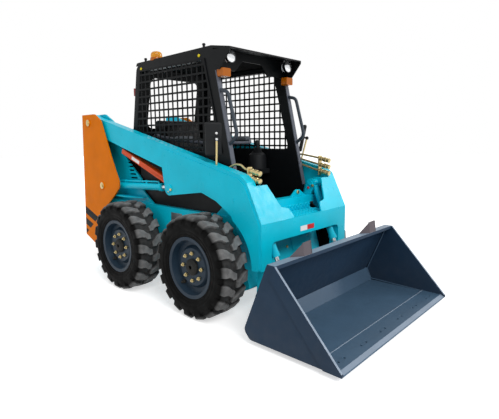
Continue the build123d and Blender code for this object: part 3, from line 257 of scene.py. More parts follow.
# By slot
FINISHES = mixed({
    "machine_blue": (paint, "04BED8", 0.26, 0.1, 0.15),
    "tower_orange": (paint, "D87200", 0.36, 0.04, 0.04),
    "chassis_black": (paint, "101416", 0.5, 0.3, 0.12),
    "cab_black": (paint, "0B0E10", 0.4, 0.1, 0.14),
    "screen_black": (paint, "0B0D0F", 0.45, 0, 0.12),
    "zinc_steel": (steel, "C8B684", 0.3),
    "engine_iron": (paint, "2C3033", 0.5, 0.2, 0.15),
    "seat_vinyl": (plastic, "131415", 0.5, 500),
    "cab_plastic": (plastic, "17191B", 0.5),
    "rail_grey": (paint, "565A64", 0.42, 0, 0.12),
    "lamp_clear": (lens, "DADDE0"),
    "lamp_amber": (lens, "A65800"),
    "lamp_red": (lens, "7A1410"),
    "prop_red": (paint, "D24A16", 0.35, 0),
    "rod_chrome": (steel, "D5D8DB", 0.12, (1, 1, 12)),
    "bucket_slate": (paint, "1D3349", 0.4, 0.1, 0.12),
    "step_grey": (paint, "5E585D", 0.55, 0, 0.12),
    "coupler_black": (paint, "15181A", 0.45, 0.2, 0.12),
    "tyre_rubber": (rubber,),
    "rim_slate": (paint, "1A2C3B", 0.36, 0.06, 0.2),
})
# Colours that no slot has, for small pieces, and for painted highlights and painted sheen on the bucket
SMALL = mixed({
    "plug_yellow": (plastic, "DCC81C", 0.4),
    "blank_white": (plastic, "E8E8E8", 0.4, 400, 0.00005),
    "blank_red": (plastic, "C82C2C", 0.4, 400, 0.00005),
    "plate_grey": (steel, "70767A", 0.5),
    # Painted highlights on the bucket's edges and fold, and a painted sheen on its floor
    "worn_edge": (paint, "7C8B9C", 0.4, 0, 0.3),
    "worn_fold": (paint, "40566B", 0.38, 0, 0.3),
    "worn_floor": (paint, "40596F", 0.36, 0, 0.3),
    "dome_amber": (lens, "F0A406", 0.45),
    "pad_grey": (plastic, "60656C", 0.5, 500),
    "rail_dark": (paint, "323A43", 0.4, 0, 0.25),
    # Near-black matte for painted shade under the roof and behind the louvres
    "lining_black": (plastic, "040505", 0.8, 300, 0.0003, 0.02),
    "mirror_glass": (steel, "DCE2E6", 0.05),
    "lamp_mirror": (steel, "E4E6E8", 0.15),
})

for subpart in frame["record"]["subparts"]:
    node = NODES[subpart["node"]]
    node.data.materials.clear()
    node.data.materials.append(FINISHES[subpart["material_slot"]])

# The cutting edge takes the painted sheen colour of the bucket's floor
NODES["cutting_edge"].data.materials[0] = SMALL["worn_floor"]

WELD_WITHIN = 0.00002           # metres, under any edge's length
# Broken edges, so that sheet steel catches the light: node, width in millimetres
SOFT_EDGES = [("lift_arm", 2.5), ("tower_plates", 2), ("bucket_shell", 2), ("cab_side_frames", 3),
              ("cab_roof", 2.5), ("chassis_frame", 2.5), ("inner_towers", 2), ("engine_hood", 4),
              ("arm_prop", 1.5), ("cutting_edge", 1), ("rear_bumper", 2)]
for node_name, width in SOFT_EDGES:
    weld = NODES[node_name].modifiers.new("weld", "WELD")
    weld.merge_threshold = WELD_WITHIN
    bevel = NODES[node_name].modifiers.new("bevel", "BEVEL")
    bevel.width = width / 1000
    bevel.segments = 2
    bevel.limit_method = "ANGLE"
    bevel.angle_limit = radians(40)
    bevel.harden_normals = True

# ---- Small parts ---------------------------------------------------------------------------
MID_WHEELBASE = -142            # from the origin, in millimetres
UP, AHEAD = (0, 0, 1), (1, 0, 0)
OUT, INWARDS = (0, -1, 0), (0, 1, 0)    # on the machine's right, where mirrored pieces are made


class Piece:
    """One mesh made of simple solids, in millimetres from mid-wheelbase."""

    def __init__(self, name, slot, body, finish=None, replaces=()):
        self.name, self.slot, self.body, self.replaces = name, slot, body, replaces
        self.finish = SMALL[finish] if finish else FINISHES[slot]
        self.mesh = bmesh.new()

    def skin(self, points, faces):
        made = [self.mesh.verts.new(point) for point in points]
        for face in faces:
            self.mesh.faces.new([made[i] for i in face])

    def slab(self, outline, across):
        """A flat outline of 3-D points given thickness along a vector."""
        count = len(outline)
        far = [Vector(point) + Vector(across) for point in outline]
        sides = [(i, (i + 1) % count, count + (i + 1) % count, count + i) for i in range(count)]
        self.skin([Vector(point) for point in outline] + far,
                  [tuple(range(count)), tuple(range(count, 2 * count))] + sides)

    def block(self, low, high, round_by=0):
        """A box, its edges rounded by a radius if one is given."""
        made = bmesh.ops.create_cube(self.mesh, size=1)["verts"]
        low, high = Vector(low), Vector(high)
        for vert in made:
            vert.co = Vector([lo + (c + 0.5) * (hi - lo) for lo, hi, c in zip(low, high, vert.co)])
        if round_by:
            edges = list(dict.fromkeys(edge for vert in made for edge in vert.link_edges))
            bmesh.ops.bevel(self.mesh, geom=edges, offset=round_by, segments=3, affect="EDGES", profile=0.5)

    def lathe(self, profile, origin, towards, sides=40):
        """A turned solid; profile rows are radius, distance along."""
        spin = Vector(towards).normalized()
        level = spin.orthogonal().normalized()
        other = spin.cross(level)
        rings = []
        for radius, along in profile:
            middle = Vector(origin) + spin * along
            if radius == 0:
                rings.append([self.mesh.verts.new(middle)] * sides)
                continue
            rings.append([self.mesh.verts.new(middle + radius * (level * cos(a) + other * sin(a)))
                          for a in (2 * pi * i / sides for i in range(sides))])
        for near, far in zip(rings, rings[1:]):
            for i in range(sides):
                j = (i + 1) % sides
                corners = list(dict.fromkeys((near[i], near[j], far[j], far[i])))
                if len(corners) > 2:
                    self.mesh.faces.new(corners)

    def rod(self, start, end, radius, sides=20):
        along = Vector(end) - Vector(start)
        self.lathe([(0, 0), (radius, 0), (radius, along.length), (0, along.length)], start, along, sides)

    def head(self, place, towards, radius, height, sides, sunk=2, rim=(3, 3)):
        """A bolt head, cap or boss: its foot sunk in what carries it, its rim cut in and down."""
        inwards, down = rim
        self.lathe([(0, -sunk), (radius, -sunk), (radius, height - down), (radius - inwards, height),
                    (0, height)], place, towards, sides)

    def pipe(self, points, radius, sides=12, bend=0):
        """A round bar through points, its corners rounded by a bend radius."""
        path = [Vector(points[0])]
        for before, corner, after in zip(points, points[1:], points[2:]):
            corner = Vector(corner)
            back = (Vector(before) - corner).normalized() * bend
            on = (Vector(after) - corner).normalized() * bend
            for t in (0, 0.25, 0.5, 0.75, 1):
                path.append(corner + back * (1 - t) ** 2 + on * t ** 2)
        path.append(Vector(points[-1]))
        path = [p for i, p in enumerate(path) if i == 0 or (p - path[i - 1]).length > 0.01]
        ring_before = None
        level = (path[1] - path[0]).orthogonal().normalized()
        for i, middle in enumerate(path):
            ahead = (path[min(i + 1, len(path) - 1)] - path[max(i - 1, 0)]).normalized()
            level = (level - ahead * level.dot(ahead)).normalized()
            other = ahead.cross(level)
            ring = [self.mesh.verts.new(middle + radius * (level * cos(a) + other * sin(a)))
                    for a in (2 * pi * k / sides for k in range(sides))]
            if ring_before:
                for k in range(sides):
                    n = (k + 1) % sides
                    self.mesh.faces.new((ring_before[k], ring_before[n], ring[n], ring[k]))
            if i in (0, len(path) - 1):
                self.mesh.faces.new(ring)
            ring_before = ring

    def turned(self, matrix):
        """Move what is there so far from its own axes to the machine's."""
        for vert in self.mesh.verts:
            vert.co = matrix @ vert.co

    def mirrored(self):
        """Add the same solids on the machine's other side, and give the piece back."""
        everything = self.mesh.verts[:] + self.mesh.edges[:] + self.mesh.faces[:]
        copy = bmesh.ops.duplicate(self.mesh, geom=everything)
        for item in copy["geom"]:
            if isinstance(item, bmesh.types.BMVert):
                item.co.y = -item.co.y
        faces = [item for item in copy["geom"] if isinstance(item, bmesh.types.BMFace)]
        bmesh.ops.reverse_faces(self.mesh, faces=faces)
        return self

    def done(self, centre=(0, 0, 0), crease=35):
        """Hand the mesh over, with its origin at a point in millimetres from mid-wheelbase."""
        bmesh.ops.recalc_face_normals(self.mesh, faces=self.mesh.faces[:])
        centre = Vector(centre)
        for vert in self.mesh.verts:
            vert.co = (vert.co - centre) / 1000
        for face in self.mesh.faces:
            face.smooth = True
        for edge in self.mesh.edges:
            edge.smooth = len(edge.link_faces) == 2 and edge.calc_face_angle(0) < radians(crease)
        data = bpy.data.meshes.new(self.name)
        self.mesh.to_mesh(data)
        self.mesh.free()
        data.materials.append(self.finish)
        made = bpy.data.objects.new(self.name, data)
        made.location = (centre + Vector((MID_WHEELBASE, 0, 0))) / 1000
        bpy.context.collection.objects.link(made)
        if self.replaces:
            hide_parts(*self.replaces)
        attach(made, self.body)
        return made


def clip(outline, corner, inward):
    """The part of a flat outline of (x, z) points on the inward side of a line."""
    kept = []
    for here, there in zip(outline, outline[1:] + outline[:1]):
        a = (here[0] - corner[0]) * inward[0] + (here[1] - corner[1]) * inward[1]
        b = (there[0] - corner[0]) * inward[0] + (there[1] - corner[1]) * inward[1]
        if a >= 0:
            kept.append(here)
        if a * b < 0:
            share = a / (a - b)
            kept.append((here[0] + (there[0] - here[0]) * share, here[1] + (there[1] - here[1]) * share))
    return kept


def within(outline, window):
    """An outline cut to a convex window whose corners run anticlockwise."""
    for (x, z), (next_x, next_z) in zip(window, window[1:] + window[:1]):
        outline = clip(outline, (x, z), (z - next_z, next_x - x))
        if len(outline) < 3:
            return []
    return outline


# ---- Wheels
AXLE_X = 489                    # ahead of and behind mid-wheelbase
WHEEL_Y = 670
AXLE_Z = 385
# Outer half of the carcass: radius, distance from the middle plane
CARCASS = [(212, 98), (214, 104), (228, 108), (232, 113), (238, 117), (243, 118), (247, 116.5), (252, 119),
           (262, 122), (272, 124), (276, 123), (280, 124), (284, 126), (296, 127), (306, 127), (316, 126),
           (328, 122.5), (338, 118), (347, 111), (354, 102), (358, 92), (360, 60), (360, 0)]
# Along a lug, from the middle of the tread to the sidewall: distance from the middle plane, how far
# it leads, half its width, radius of its top, radius of its foot
LUG_PATH = [(5, 40, 20, 384.0, 357), (34, 33, 27, 384.2, 357), (56, 10, 29, 384.1, 357),
            (84, 0, 33, 383.6, 356), (104, -3, 36, 381.0, 348), (118, -5, 36, 371.0, 334),
            (125.5, -6, 34, 352.0, 318), (127, -7, 30, 330.0, 308), (126.6, -7, 25, 318.0, 304)]
LUGS = 18                       # on each half of the tread
LUG_STEP = 2 * pi / LUGS
LUG_SPREAD = 7                  # how far a lug's foot reaches beyond its top
TREAD_RADIUS = 384              # turns lengths round the tread into angles
# The corner of one lug stands on the ground
LUG_START = 1.5 * pi + (LUG_PATH[3][2] + LUG_PATH[3][1]) / TREAD_RADIUS
STUDS = 8
STUD_CIRCLE = 101.6             # its radius
RIM_FACE = 72                   # from the middle plane to the nuts' seat
NUT = [(0, 0), (15.6, 0), (15.6, 13), (13, 15.5), (8, 15.5), (8, 24), (6, 26), (0, 26)]
HUB_CAP = [(61, 60), (61, 88.5), (58, 91), (47, 99), (40, 101), (16, 101), (14, 98), (0, 98)]
VALVE = [(0, 0), (15, 0), (15, 14), (9, 18), (9, 34), (6, 36), (0, 36)]


def add_lug(tyre, middle, side_sign, turn):
    """A bar from the middle of the tread down the shoulder, on the side that the sign gives."""
    points, faces = [], []
    for side, lead, half_width, top, foot in LUG_PATH:
        for reach, radius in ((-half_width - LUG_SPREAD, foot), (-half_width, top), (half_width, top),
                              (half_width + LUG_SPREAD, foot)):
            angle = turn - (lead + reach) / TREAD_RADIUS
            points.append(middle + Vector((radius * cos(angle), side_sign * side, radius * sin(angle))))
    for first in range(0, len(points) - 4, 4):
        faces += [(first + k, first + k + 1, first + k + 5, first + k + 4) for k in range(3)]
    last = len(points) - 4
    faces += [(0, 1, 2, 3), (last, last + 1, last + 2, last + 3)]
    tyre.skin(points, faces)


def make_tyre(wheel, middle, outward):
    """The carcass and its lugs, half a step apart on the tread's two halves."""
    tyre = Piece("tyre_tread_" + wheel, "tyre_rubber", "wheel_" + wheel, replaces=["tyre_" + wheel])
    inner_half = [(radius, -side) for radius, side in reversed(CARCASS[:-1])]
    tyre.lathe(CARCASS + inner_half + [CARCASS[0]], middle, (0, outward, 0), sides=108)
    for half, stagger in ((1, 0.5), (-1, 0)):
        for number in range(LUGS):
            add_lug(tyre, middle, outward * half, LUG_START + (number + stagger) * LUG_STEP)
    tyre.done(middle, crease=30)


def make_hub(wheel, middle, outward):
    """Wheel nuts, the hub cap and the tyre's valve."""
    nuts = Piece("wheel_nuts_" + wheel, "zinc_steel", "wheel_" + wheel)
    for number in range(STUDS):
        angle = number * 2 * pi / STUDS
        seat = middle + Vector((STUD_CIRCLE * cos(angle), outward * RIM_FACE, STUD_CIRCLE * sin(angle)))
        nuts.lathe(NUT, seat, (0, outward, 0), sides=6)
    nuts.done()
    cap = Piece("hub_cap_" + wheel, "chassis_black", "wheel_" + wheel)
    cap.lathe(HUB_CAP, middle, (0, outward, 0), sides=48)
    cap.lathe(VALVE, middle + Vector((-118, outward * 52, -138)), (0, outward, 0), sides=16)
    cap.done()


for end, x in (("front", AXLE_X), ("rear", -AXLE_X)):
    for hand, outward in (("right", -1), ("left", 1)):
        wheel_middle = Vector((x, outward * WHEEL_Y, AXLE_Z))
        make_tyre(end + "_" + hand, wheel_middle, outward)
        make_hub(end + "_" + hand, wheel_middle, outward)

# ---- Cab: side screens, each an edge frame with uprights and, outside them, level wires
CAB_SIDE_Y = 434
WINDOW_TOP, WINDOW_FOOT = 1900, 1212
WINDOW = [(-530, WINDOW_TOP), (-610, 1400), (-470, WINDOW_FOOT), (486, WINDOW_FOOT), (303, WINDOW_TOP)]
MESH_PITCH = 63
UPRIGHTS, LEVELS = 17, 11
FIRST_UPRIGHT_X, FIRST_LEVEL_Z = -588, 1240
HALF_WIRE = 7.5
WIRE_SHEET = 4.5
EDGE_SHEET = 8.8
EDGE_X = 18                     # how far the edge frame reaches beyond the window
EDGE_Z = {WINDOW_TOP: 14, WINDOW_FOOT: -14}
BACK_X, AHEAD_X, UNDER_Z, OVER_Z = -700, 600, 1100, 2000    # clear of the window on every side
SCREEN_Y = -CAB_SIDE_Y + 1      # a millimetre into the cab's side
LEVEL_Y = SCREEN_Y - 4          # half a millimetre into the uprights
screens = Piece("screen_wires", "screen_black", "chassis", replaces=["cab_screens"])
wide = [(x + (EDGE_X if x > 0 else -EDGE_X), z + EDGE_Z.get(z, 0)) for x, z in WINDOW]
for number in range(UPRIGHTS):
    low, high = (FIRST_UPRIGHT_X + MESH_PITCH * number + edge for edge in (-HALF_WIRE, HALF_WIRE))
    kept = within([(low, OVER_Z), (low, UNDER_Z), (high, UNDER_Z), (high, OVER_Z)], wide)
    if kept:
        screens.slab([(x, SCREEN_Y, z) for x, z in kept], (0, -WIRE_SHEET, 0))
for number in range(LEVELS):
    low, high = (FIRST_LEVEL_Z + MESH_PITCH * number + edge for edge in (-HALF_WIRE, HALF_WIRE))
    kept = within([(BACK_X, low), (AHEAD_X, low), (AHEAD_X, high), (BACK_X, high)], wide)
    if kept:
        screens.slab([(x, LEVEL_Y, z) for x, z in kept], (0, -WIRE_SHEET, 0))
for here in range(len(WINDOW)):
    there = (here + 1) % len(WINDOW)
    outline = (WINDOW[here], WINDOW[there], wide[there], wide[here])
    screens.slab([(x, SCREEN_Y, z) for x, z in outline], (0, -EDGE_SHEET, 0))
screens.mirrored().done()

plugs = Piece("post_plugs", "tower_orange", "chassis", "plug_yellow")
for x, z in ((257, 1940), (-522, 1925)):
    plugs.head((x, -CAB_SIDE_Y, z), OUT, 12, 6, sides=24, sunk=1)
plugs.mirrored().done()

knobs = Piece("roof_lifting_bolts", "cab_plastic", "chassis")
for x, z in ((283, 1990), (-490, 1976)):
    knobs.lathe([(0, -8), (18, -8), (18, 8), (10, 12), (10, 26), (13, 28), (13, 38), (8, 42), (0, 42)],
                (x, -405, z), UP, sides=24)
knobs.mirrored().done()

# Beacon: as high as the solid one, and a little further back
BEACON_BACK = 26
BEACON_LOW, BEACON_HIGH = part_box("beacon")
beacon_foot = Vector(((BEACON_LOW[0] + BEACON_HIGH[0]) * 500 - MID_WHEELBASE - BEACON_BACK,
                      (BEACON_LOW[1] + BEACON_HIGH[1]) * 500, BEACON_LOW[2] * 1000))
beacon_height = (BEACON_HIGH[2] - BEACON_LOW[2]) * 1000
beacon_base = Piece("beacon_base", "lamp_amber", "chassis")
beacon_base.lathe([(0, -6), (55, -6), (55, 16), (52, 21), (44, 22), (0, 22)], beacon_foot, UP, sides=40)
beacon_base.lathe([(0, 20), (17, 22), (17, 46), (12, 54), (0, 57)], beacon_foot, UP, sides=20)
beacon_base.done()
dome = Piece("beacon_dome", "lamp_amber", "chassis", "dome_amber", ["beacon"])
dome.lathe([(50, 18), (50, 34), (49, 48), (45, 60), (35, 69), (20, beacon_height - 1.2), (7, beacon_height),
            (0, beacon_height)], beacon_foot, UP, sides=40)
dome.done()

LAMP_PLACE = (470, -345, 1913)
LAMP_AIM = (1, 0, 0.06)
bezels = Piece("lamp_bezels", "cab_plastic", "chassis")
bezels.lathe([(0, -2), (30, -2), (38, 14), (49, 28), (51, 44), (51, 50), (48, 50), (47, 42), (0, 38)],
             LAMP_PLACE, LAMP_AIM, sides=40)
bezels.mirrored().done()
glasses = Piece("lamp_glasses", "lamp_clear", "chassis", "lamp_mirror")
glasses.lathe([(0, 40), (48, 45), (40, 54), (22, 60), (0, 62)], LAMP_PLACE, LAMP_AIM, sides=40)
glasses.mirrored().done()

# Painted shade: a near-black matte sheet under the roof, to darken its underside
SHADE_SHEET_HALF = 396
roof_shade = Piece("roof_shade_sheet", "cab_black", "chassis", "lining_black")
roof_shade.block((-560, -SHADE_SHEET_HALF, 1940), (395, SHADE_SHEET_HALF, 1957), round_by=2)
roof_shade.done()

# Grab rails on the front posts
RAIL_Y = -416
RAIL_PATH = [(470, 1668), (548, 1652), (640, 1330), (560, 1268)]
rails = Piece("grab_rails", "cab_black", "chassis", "rail_dark", ["handrails"])
rails.pipe([(x, RAIL_Y, z) for x, z in RAIL_PATH], 14, sides=16, bend=34)
rails.mirrored().done()

# Joystick boots: rings of bellows, a grip and a thumb knob
STICK_FOOT = (180, -320, 1010)
boot = [(0, 0), (86, 0), (84, 110), (78, 148), (58, 166)]
for ring in range(5):
    boot += [(46 - 5 * ring, 170 + 9 * ring), (50 - 5 * ring, 174 + 9 * ring)]
boot += [(13, 216), (13, 232), (22, 236), (24, 252), (21, 272), (12, 282), (0, 283)]
sticks = Piece("joysticks", "cab_plastic", "chassis")
sticks.lathe(boot, STICK_FOOT, UP, sides=28)
sticks.mirrored().done()

rests = Piece("arm_rests", "seat_vinyl", "lap_bar", "pad_grey")
rests.block((-150, -382, 1284), (40, -318, 1330), round_by=16)
rests.mirrored().done()

# ---- Seat cushions
# name, middle, size, tilt in degrees
SEAT_PADS = [("seat_pad", (-255, 0, 1096), (350, 430, 74), 4),
             ("back_pad", (-492, 0, 1290), (380, 420, 70), -77)]
PAD_GRID = 14
# Shares of half a pad's size: corners drawn in, rim let down, middle raised, two seams
PAD_DRAWN, PAD_FALL, PAD_CROWN = 0.10, 0.42, 0.18
SEAM_AT, SEAM_HALF, SEAM_DEPTH = 0.57, 0.08, 0.10
PAD_FRAMES = 12                 # of the cloth run
PAD_SWELL = 0.008               # most that the cloth run moves a point, in metres


def make_pad(name, middle, size, tilt):
    """A crowned cushion: a gridded block that swells under cloth pressure."""
    pad = Piece(name, "seat_vinyl", "chassis")
    half = Vector(size) / 2
    bmesh.ops.create_cube(pad.mesh, size=1)
    bmesh.ops.subdivide_edges(pad.mesh, edges=pad.mesh.edges[:], cuts=PAD_GRID, use_grid_fill=True)
    turn = Matrix.Rotation(-radians(tilt), 3, "Y")
    for vert in pad.mesh.verts:
        across, along, up = (2 * c for c in vert.co)
        pull = 1 - PAD_DRAWN * across ** 2 * along ** 4 - PAD_DRAWN * along ** 2 * across ** 4
        seam = SEAM_DEPTH if abs(abs(along) - SEAM_AT) < SEAM_HALF and up > 0.9 else 0
        crown = 1 - PAD_FALL * max(abs(across), abs(along)) ** 5
        crown += PAD_CROWN * (1 - across ** 2) * (1 - along ** 2)
        local = Vector((across * half.x * pull, along * half.y * pull, up * half.z * (crown - seam)))
        vert.co = turn @ local + Vector(middle)
    made = pad.done(middle, crease=60)
    rest = [vert.co.copy() for vert in made.data.vertices]
    cloth = made.modifiers.new("cloth", "CLOTH")
    cloth.settings.use_pressure = True
    cloth.settings.uniform_pressure_force = 3
    cloth.settings.effector_weights.gravity = 0
    for frame_number in range(1, PAD_FRAMES + 1):
        bpy.context.scene.frame_set(frame_number)
    swollen = made.evaluated_get(bpy.context.evaluated_depsgraph_get()).data
    moved = [vert.co.copy() for vert in swollen.vertices]
    made.modifiers.remove(cloth)
    bpy.context.scene.frame_set(1)
    for vert, before, after in zip(made.data.vertices, rest, moved):
        shift = after - before
        vert.co = before + shift * min(1, PAD_SWELL / max(shift.length, 1e-6))


for pad_row in SEAT_PADS:
    make_pad(*pad_row)

# ---- Tower plates: pin heads with keepers, and three slanting stripes
TOWER_OUTER = 580
PINS = [(-1256, 1471), (-1045, 863)]
KEEPER_THICK = 8
WASHER = [(0, KEEPER_THICK), (19, KEEPER_THICK), (19, KEEPER_THICK + 3), (0, KEEPER_THICK + 3)]
keepers = Piece("pin_keepers", "tower_orange", "chassis")
bolts = Piece("pin_bolts", "zinc_steel", "chassis")
for x, z in PINS:
    keepers.head((x, -TOWER_OUTER, z), OUT, 40, KEEPER_THICK, sides=6, sunk=0, rim=(3, 2))
    bolt = (x + 4, -TOWER_OUTER, z)
    bolts.head(bolt, OUT, 15, KEEPER_THICK + 11, sides=6, sunk=-KEEPER_THICK, rim=(3, 2))
    bolts.lathe(WASHER, bolt, OUT, sides=24)
keepers.mirrored().done()
bolts.mirrored().done()

TOWER_EDGE = [(-1434, 330), (-1245, 262), (-1140, 550), (-1000, 655), (-1000, 900), (-1408, 900)]
# columns: height of the top at the rear end, depth
STRIPES = [(640, 78), (516, 70), (404, 66)]
STRIPE_REAR_X, STRIPE_FRONT_X = -1460, -1000
STRIPE_FALL = (STRIPE_FRONT_X - STRIPE_REAR_X) * 0.36       # from the rear end to the front one
stripes = Piece("tower_stripes", "chassis_black", "chassis")
for height, depth in STRIPES:
    band = [(STRIPE_REAR_X, height - depth), (STRIPE_FRONT_X, height - depth - STRIPE_FALL),
            (STRIPE_FRONT_X, height - STRIPE_FALL), (STRIPE_REAR_X, height)]
    kept = within(band, TOWER_EDGE)
    if kept:
        stripes.slab([(x, -TOWER_OUTER + 0.5, z) for x, z in kept], (0, -1.1, 0))
stripes.mirrored().done()

# ---- Lift arm
ARM_FACE = 555
ROD_PIN = (-15, 909)
caps = Piece("rod_pin_caps", "prop_red", "lift_arm", "blank_red")
caps.head((ROD_PIN[0] - 26, -ARM_FACE, ROD_PIN[1] - 4), OUT, 15, 6, sides=24, rim=(5, 3))
caps.mirrored().done()
arm_bolts = Piece("arm_bolts", "zinc_steel", "lift_arm")
for x, z, radius in ((13, 899, 13), (-18, 880, 7)):
    arm_bolts.head((x, -ARM_FACE, z), OUT, radius, 11, sides=6, rim=(3, 2))
arm_bolts.mirrored().done()
bosses = Piece("arm_bosses", "machine_blue", "lift_arm")
bosses.head((ROD_PIN[0], -ARM_FACE, ROD_PIN[1]), OUT, 34, 9, sides=40)
for x, z in ((728, 884), (728, 866)):
    bosses.lathe([(0, -1), (6, -1), (6, 3), (0, 4)], (x, -ARM_FACE, z), OUT, sides=16)
bosses.mirrored().done()

# Hinge bosses at the coupler pins, outside the arm's feet
feet = Piece("coupler_pin_heads", "machine_blue", "bucket")
feet.head((927, -513, 186), OUT, 26, 8, sides=32, sunk=0, rim=(4, 3))
feet.mirrored().done()

# Blank label on the cross plate, white and red
CROSS_FACE_X = 985
LABEL_FOOT, LABEL_TOP = 613, 651
for name, y_low, y_high in (("white", -101, -14), ("red", -14, 77)):
    label = Piece("cross_label_" + name, "machine_blue", "lift_arm", "blank_" + name)
    label.block((CROSS_FACE_X - 0.5, y_low, LABEL_FOOT), (CROSS_FACE_X + 0.6, y_high, LABEL_TOP))
    label.done()

# Mirrors, turned outwards and leaning forward: zinc stem, clamp, rounded back and glass
MIRROR_MIDDLE = Vector((524, -549, 1306))
MIRROR_TURN = radians(42.4)
MIRROR_LEAN = radians(11)
level_out = Vector((cos(MIRROR_TURN), -sin(MIRROR_TURN), 0))
MIRROR_OUT = level_out * cos(MIRROR_LEAN) - Vector((0, 0, sin(MIRROR_LEAN)))
MIRROR_UP = level_out * sin(MIRROR_LEAN) + Vector((0, 0, cos(MIRROR_LEAN)))
MIRROR_SIDE = Vector((-sin(MIRROR_TURN), -cos(MIRROR_TURN), 0))
mirror_axes = Matrix((MIRROR_OUT, MIRROR_SIDE, MIRROR_UP)).transposed().to_4x4()
from_mirror = Matrix.Translation(MIRROR_MIDDLE) @ mirror_axes
CLAMP_SIDE, CLAMP_UP = -24, 9   # on the mirror's own axes, as are its back and glass
stems = Piece("mirror_stems", "zinc_steel", "lift_arm")
stems.rod((527, -524, 1084), from_mirror @ Vector((40, CLAMP_SIDE, CLAMP_UP)), 7.5, sides=18)
COLLAR = [(0, 0), (17, 0), (17, 5), (12, 9), (12, 20), (0, 20)]
stems.lathe(COLLAR, (528.5, -525, 1096), (0.2, -0.15, 1), sides=24)
stems.mirrored().done()
# Painted highlights: two white discs on each mirror's back, at the clamp and above it
highlight_spots = Piece("mirror_highlight_spots", "lamp_clear", "lift_arm", "blank_white")
for out, up in ((53, CLAMP_UP), (15, 46)):
    highlight_spots.head(from_mirror @ Vector((out, CLAMP_SIDE, up)), MIRROR_OUT, 9, 5, sides=24, sunk=0, rim=(3, 2))
highlight_spots.mirrored().done()
backs = Piece("mirror_backs", "cab_plastic", "lift_arm", replaces=["mirrors"])
backs.block((-16, -60, -122), (16, 60, 122), round_by=14)
backs.lathe([(0, 10), (9, 10), (9, 28), (14, 33), (16, 40), (14, 48), (9, 54), (0, 54)],
            (0, CLAMP_SIDE, CLAMP_UP), AHEAD, sides=20)
backs.turned(from_mirror)
backs.mirrored().done()
glass = Piece("mirror_glasses", "rod_chrome", "lift_arm", "mirror_glass")
glass.block((-17.5, -50, -112), (-15, 50, 112), round_by=1)
glass.turned(from_mirror)
glass.mirrored().done()

# Quick couplers, nose down: sleeves, the pipes that feed them, and a clamp plate on each side
AUX_Y = 444
AUX_TIP_X = 888
AUX_DROOP = radians(11.5)
AUX_AHEAD = Vector((cos(AUX_DROOP), 0, -sin(AUX_DROOP)))
SLEEVE_LENGTH = 108
SLEEVE_END_X = AUX_TIP_X - SLEEVE_LENGTH
SLEEVE = [(0, 0), (13, 0), (13, 14), (19, 17), (19, 34), (16.5, 36), (16.5, 50), (21, 52), (21, 76), (18, 78),
          (18, 98), (20, 99), (20, 105), (15, SLEEVE_LENGTH), (0, SLEEVE_LENGTH)]
# columns: side, height of the tip, then points of the pipe behind the sleeve as x, height above the tip
AUX_LINES = [(-1, 1007, [(700, 56), (640, 66), (560, 50)]), (-1, 1061, [(700, 58), (645, 62), (560, 26)]),
             (1, 1008, [(594, 70), (540, 74)]), (1, 1062, [(594, 62), (540, 66)]),
             (1, 1115, [(594, 52), (540, 50)])]
fittings = Piece("quick_couplers", "zinc_steel", "lift_arm", replaces=["aux_couplers"])
for side, height, path in AUX_LINES:
    tip = Vector((AUX_TIP_X, side * AUX_Y, height))
    fittings.lathe(SLEEVE, tip - AUX_AHEAD * SLEEVE_LENGTH, AUX_AHEAD, sides=28)
    behind = [(x, side * AUX_Y, height + above) for x, above in path]
    last = Vector(behind[-1])
    fittings.pipe([tip - AUX_AHEAD * (SLEEVE_LENGTH - 8), tip - AUX_AHEAD * (SLEEVE_LENGTH + 42), *behind,
                   last + Vector((-40, side * 26, -14))], 8.5, sides=14, bend=16)
for side, low, high in ((-1, 992, 1108), (1, 990, 1158)):
    y_low, y_high = sorted((side * (AUX_Y - 20), side * (AUX_Y + 26)))
    fittings.block((SLEEVE_END_X + 2, y_low, low), (SLEEVE_END_X + 12, y_high, high), round_by=2)
fittings.done()

# Grip plate between the halves of the front plate: rings punched up from a tread and its upstand
TREAD_HALF = 318
TREAD_REAR_X, TREAD_FRONT_X = 766, 975
TREAD_UNDER, TREAD_TOP = 716, 724
UPSTAND_FACE_X, UPSTAND_TOP = 776, 772
RING = [(0, -1), (15, -1), (11, 6), (7, 6), (5, 1.2), (0, 1.2)]
RING_PITCH = 42
RING_STAGGER = 10
FIRST_RING_X, FIRST_RING_Z = 800, 739
tread = Piece("step_tread", "machine_blue", "lift_arm", replaces=["arm_step"])
tread.block((TREAD_REAR_X, -TREAD_HALF, TREAD_UNDER), (TREAD_FRONT_X, TREAD_HALF, TREAD_TOP))
tread.block((TREAD_REAR_X, -TREAD_HALF, TREAD_UNDER), (UPSTAND_FACE_X, TREAD_HALF, UPSTAND_TOP))
for column in range(-7, 8):
    offsets = [RING_PITCH * column - RING_STAGGER, RING_PITCH * column + RING_STAGGER]
    for row in range(4):
        tread.lathe(RING, (FIRST_RING_X + RING_PITCH * row, offsets[row % 2], TREAD_TOP), UP, sides=8)
    for row in range(2):
        tread.lathe(RING, (UPSTAND_FACE_X, offsets[row], FIRST_RING_Z + 20 * row), AHEAD, sides=8)
tread.done()

# Pins of the cross beam's lug and of the tilt cylinders' ears
lug_pin = Piece("beam_lug_pin", "zinc_steel", "lift_arm")
lug_pin.lathe([(0, -14), (10.6, -14), (10.6, 2), (17, 2), (17, 9), (13, 12), (0, 12)],
              (731.6, 200, 862), AHEAD, sides=24)
lug_pin.done()
EAR_FACE_Y = -328
ear_bolts = Piece("tilt_ear_bolts", "zinc_steel", "lift_arm")
ear_bolts.head((797, EAR_FACE_Y, 908), INWARDS, 13, 11, sides=6)
ear_bolts.mirrored().done()
ear_caps = Piece("tilt_ear_caps", "prop_red", "lift_arm", "blank_red")
ear_caps.head((753, EAR_FACE_Y, 888), INWARDS, 11, 7, sides=20, rim=(4, 3))
ear_caps.mirrored().done()

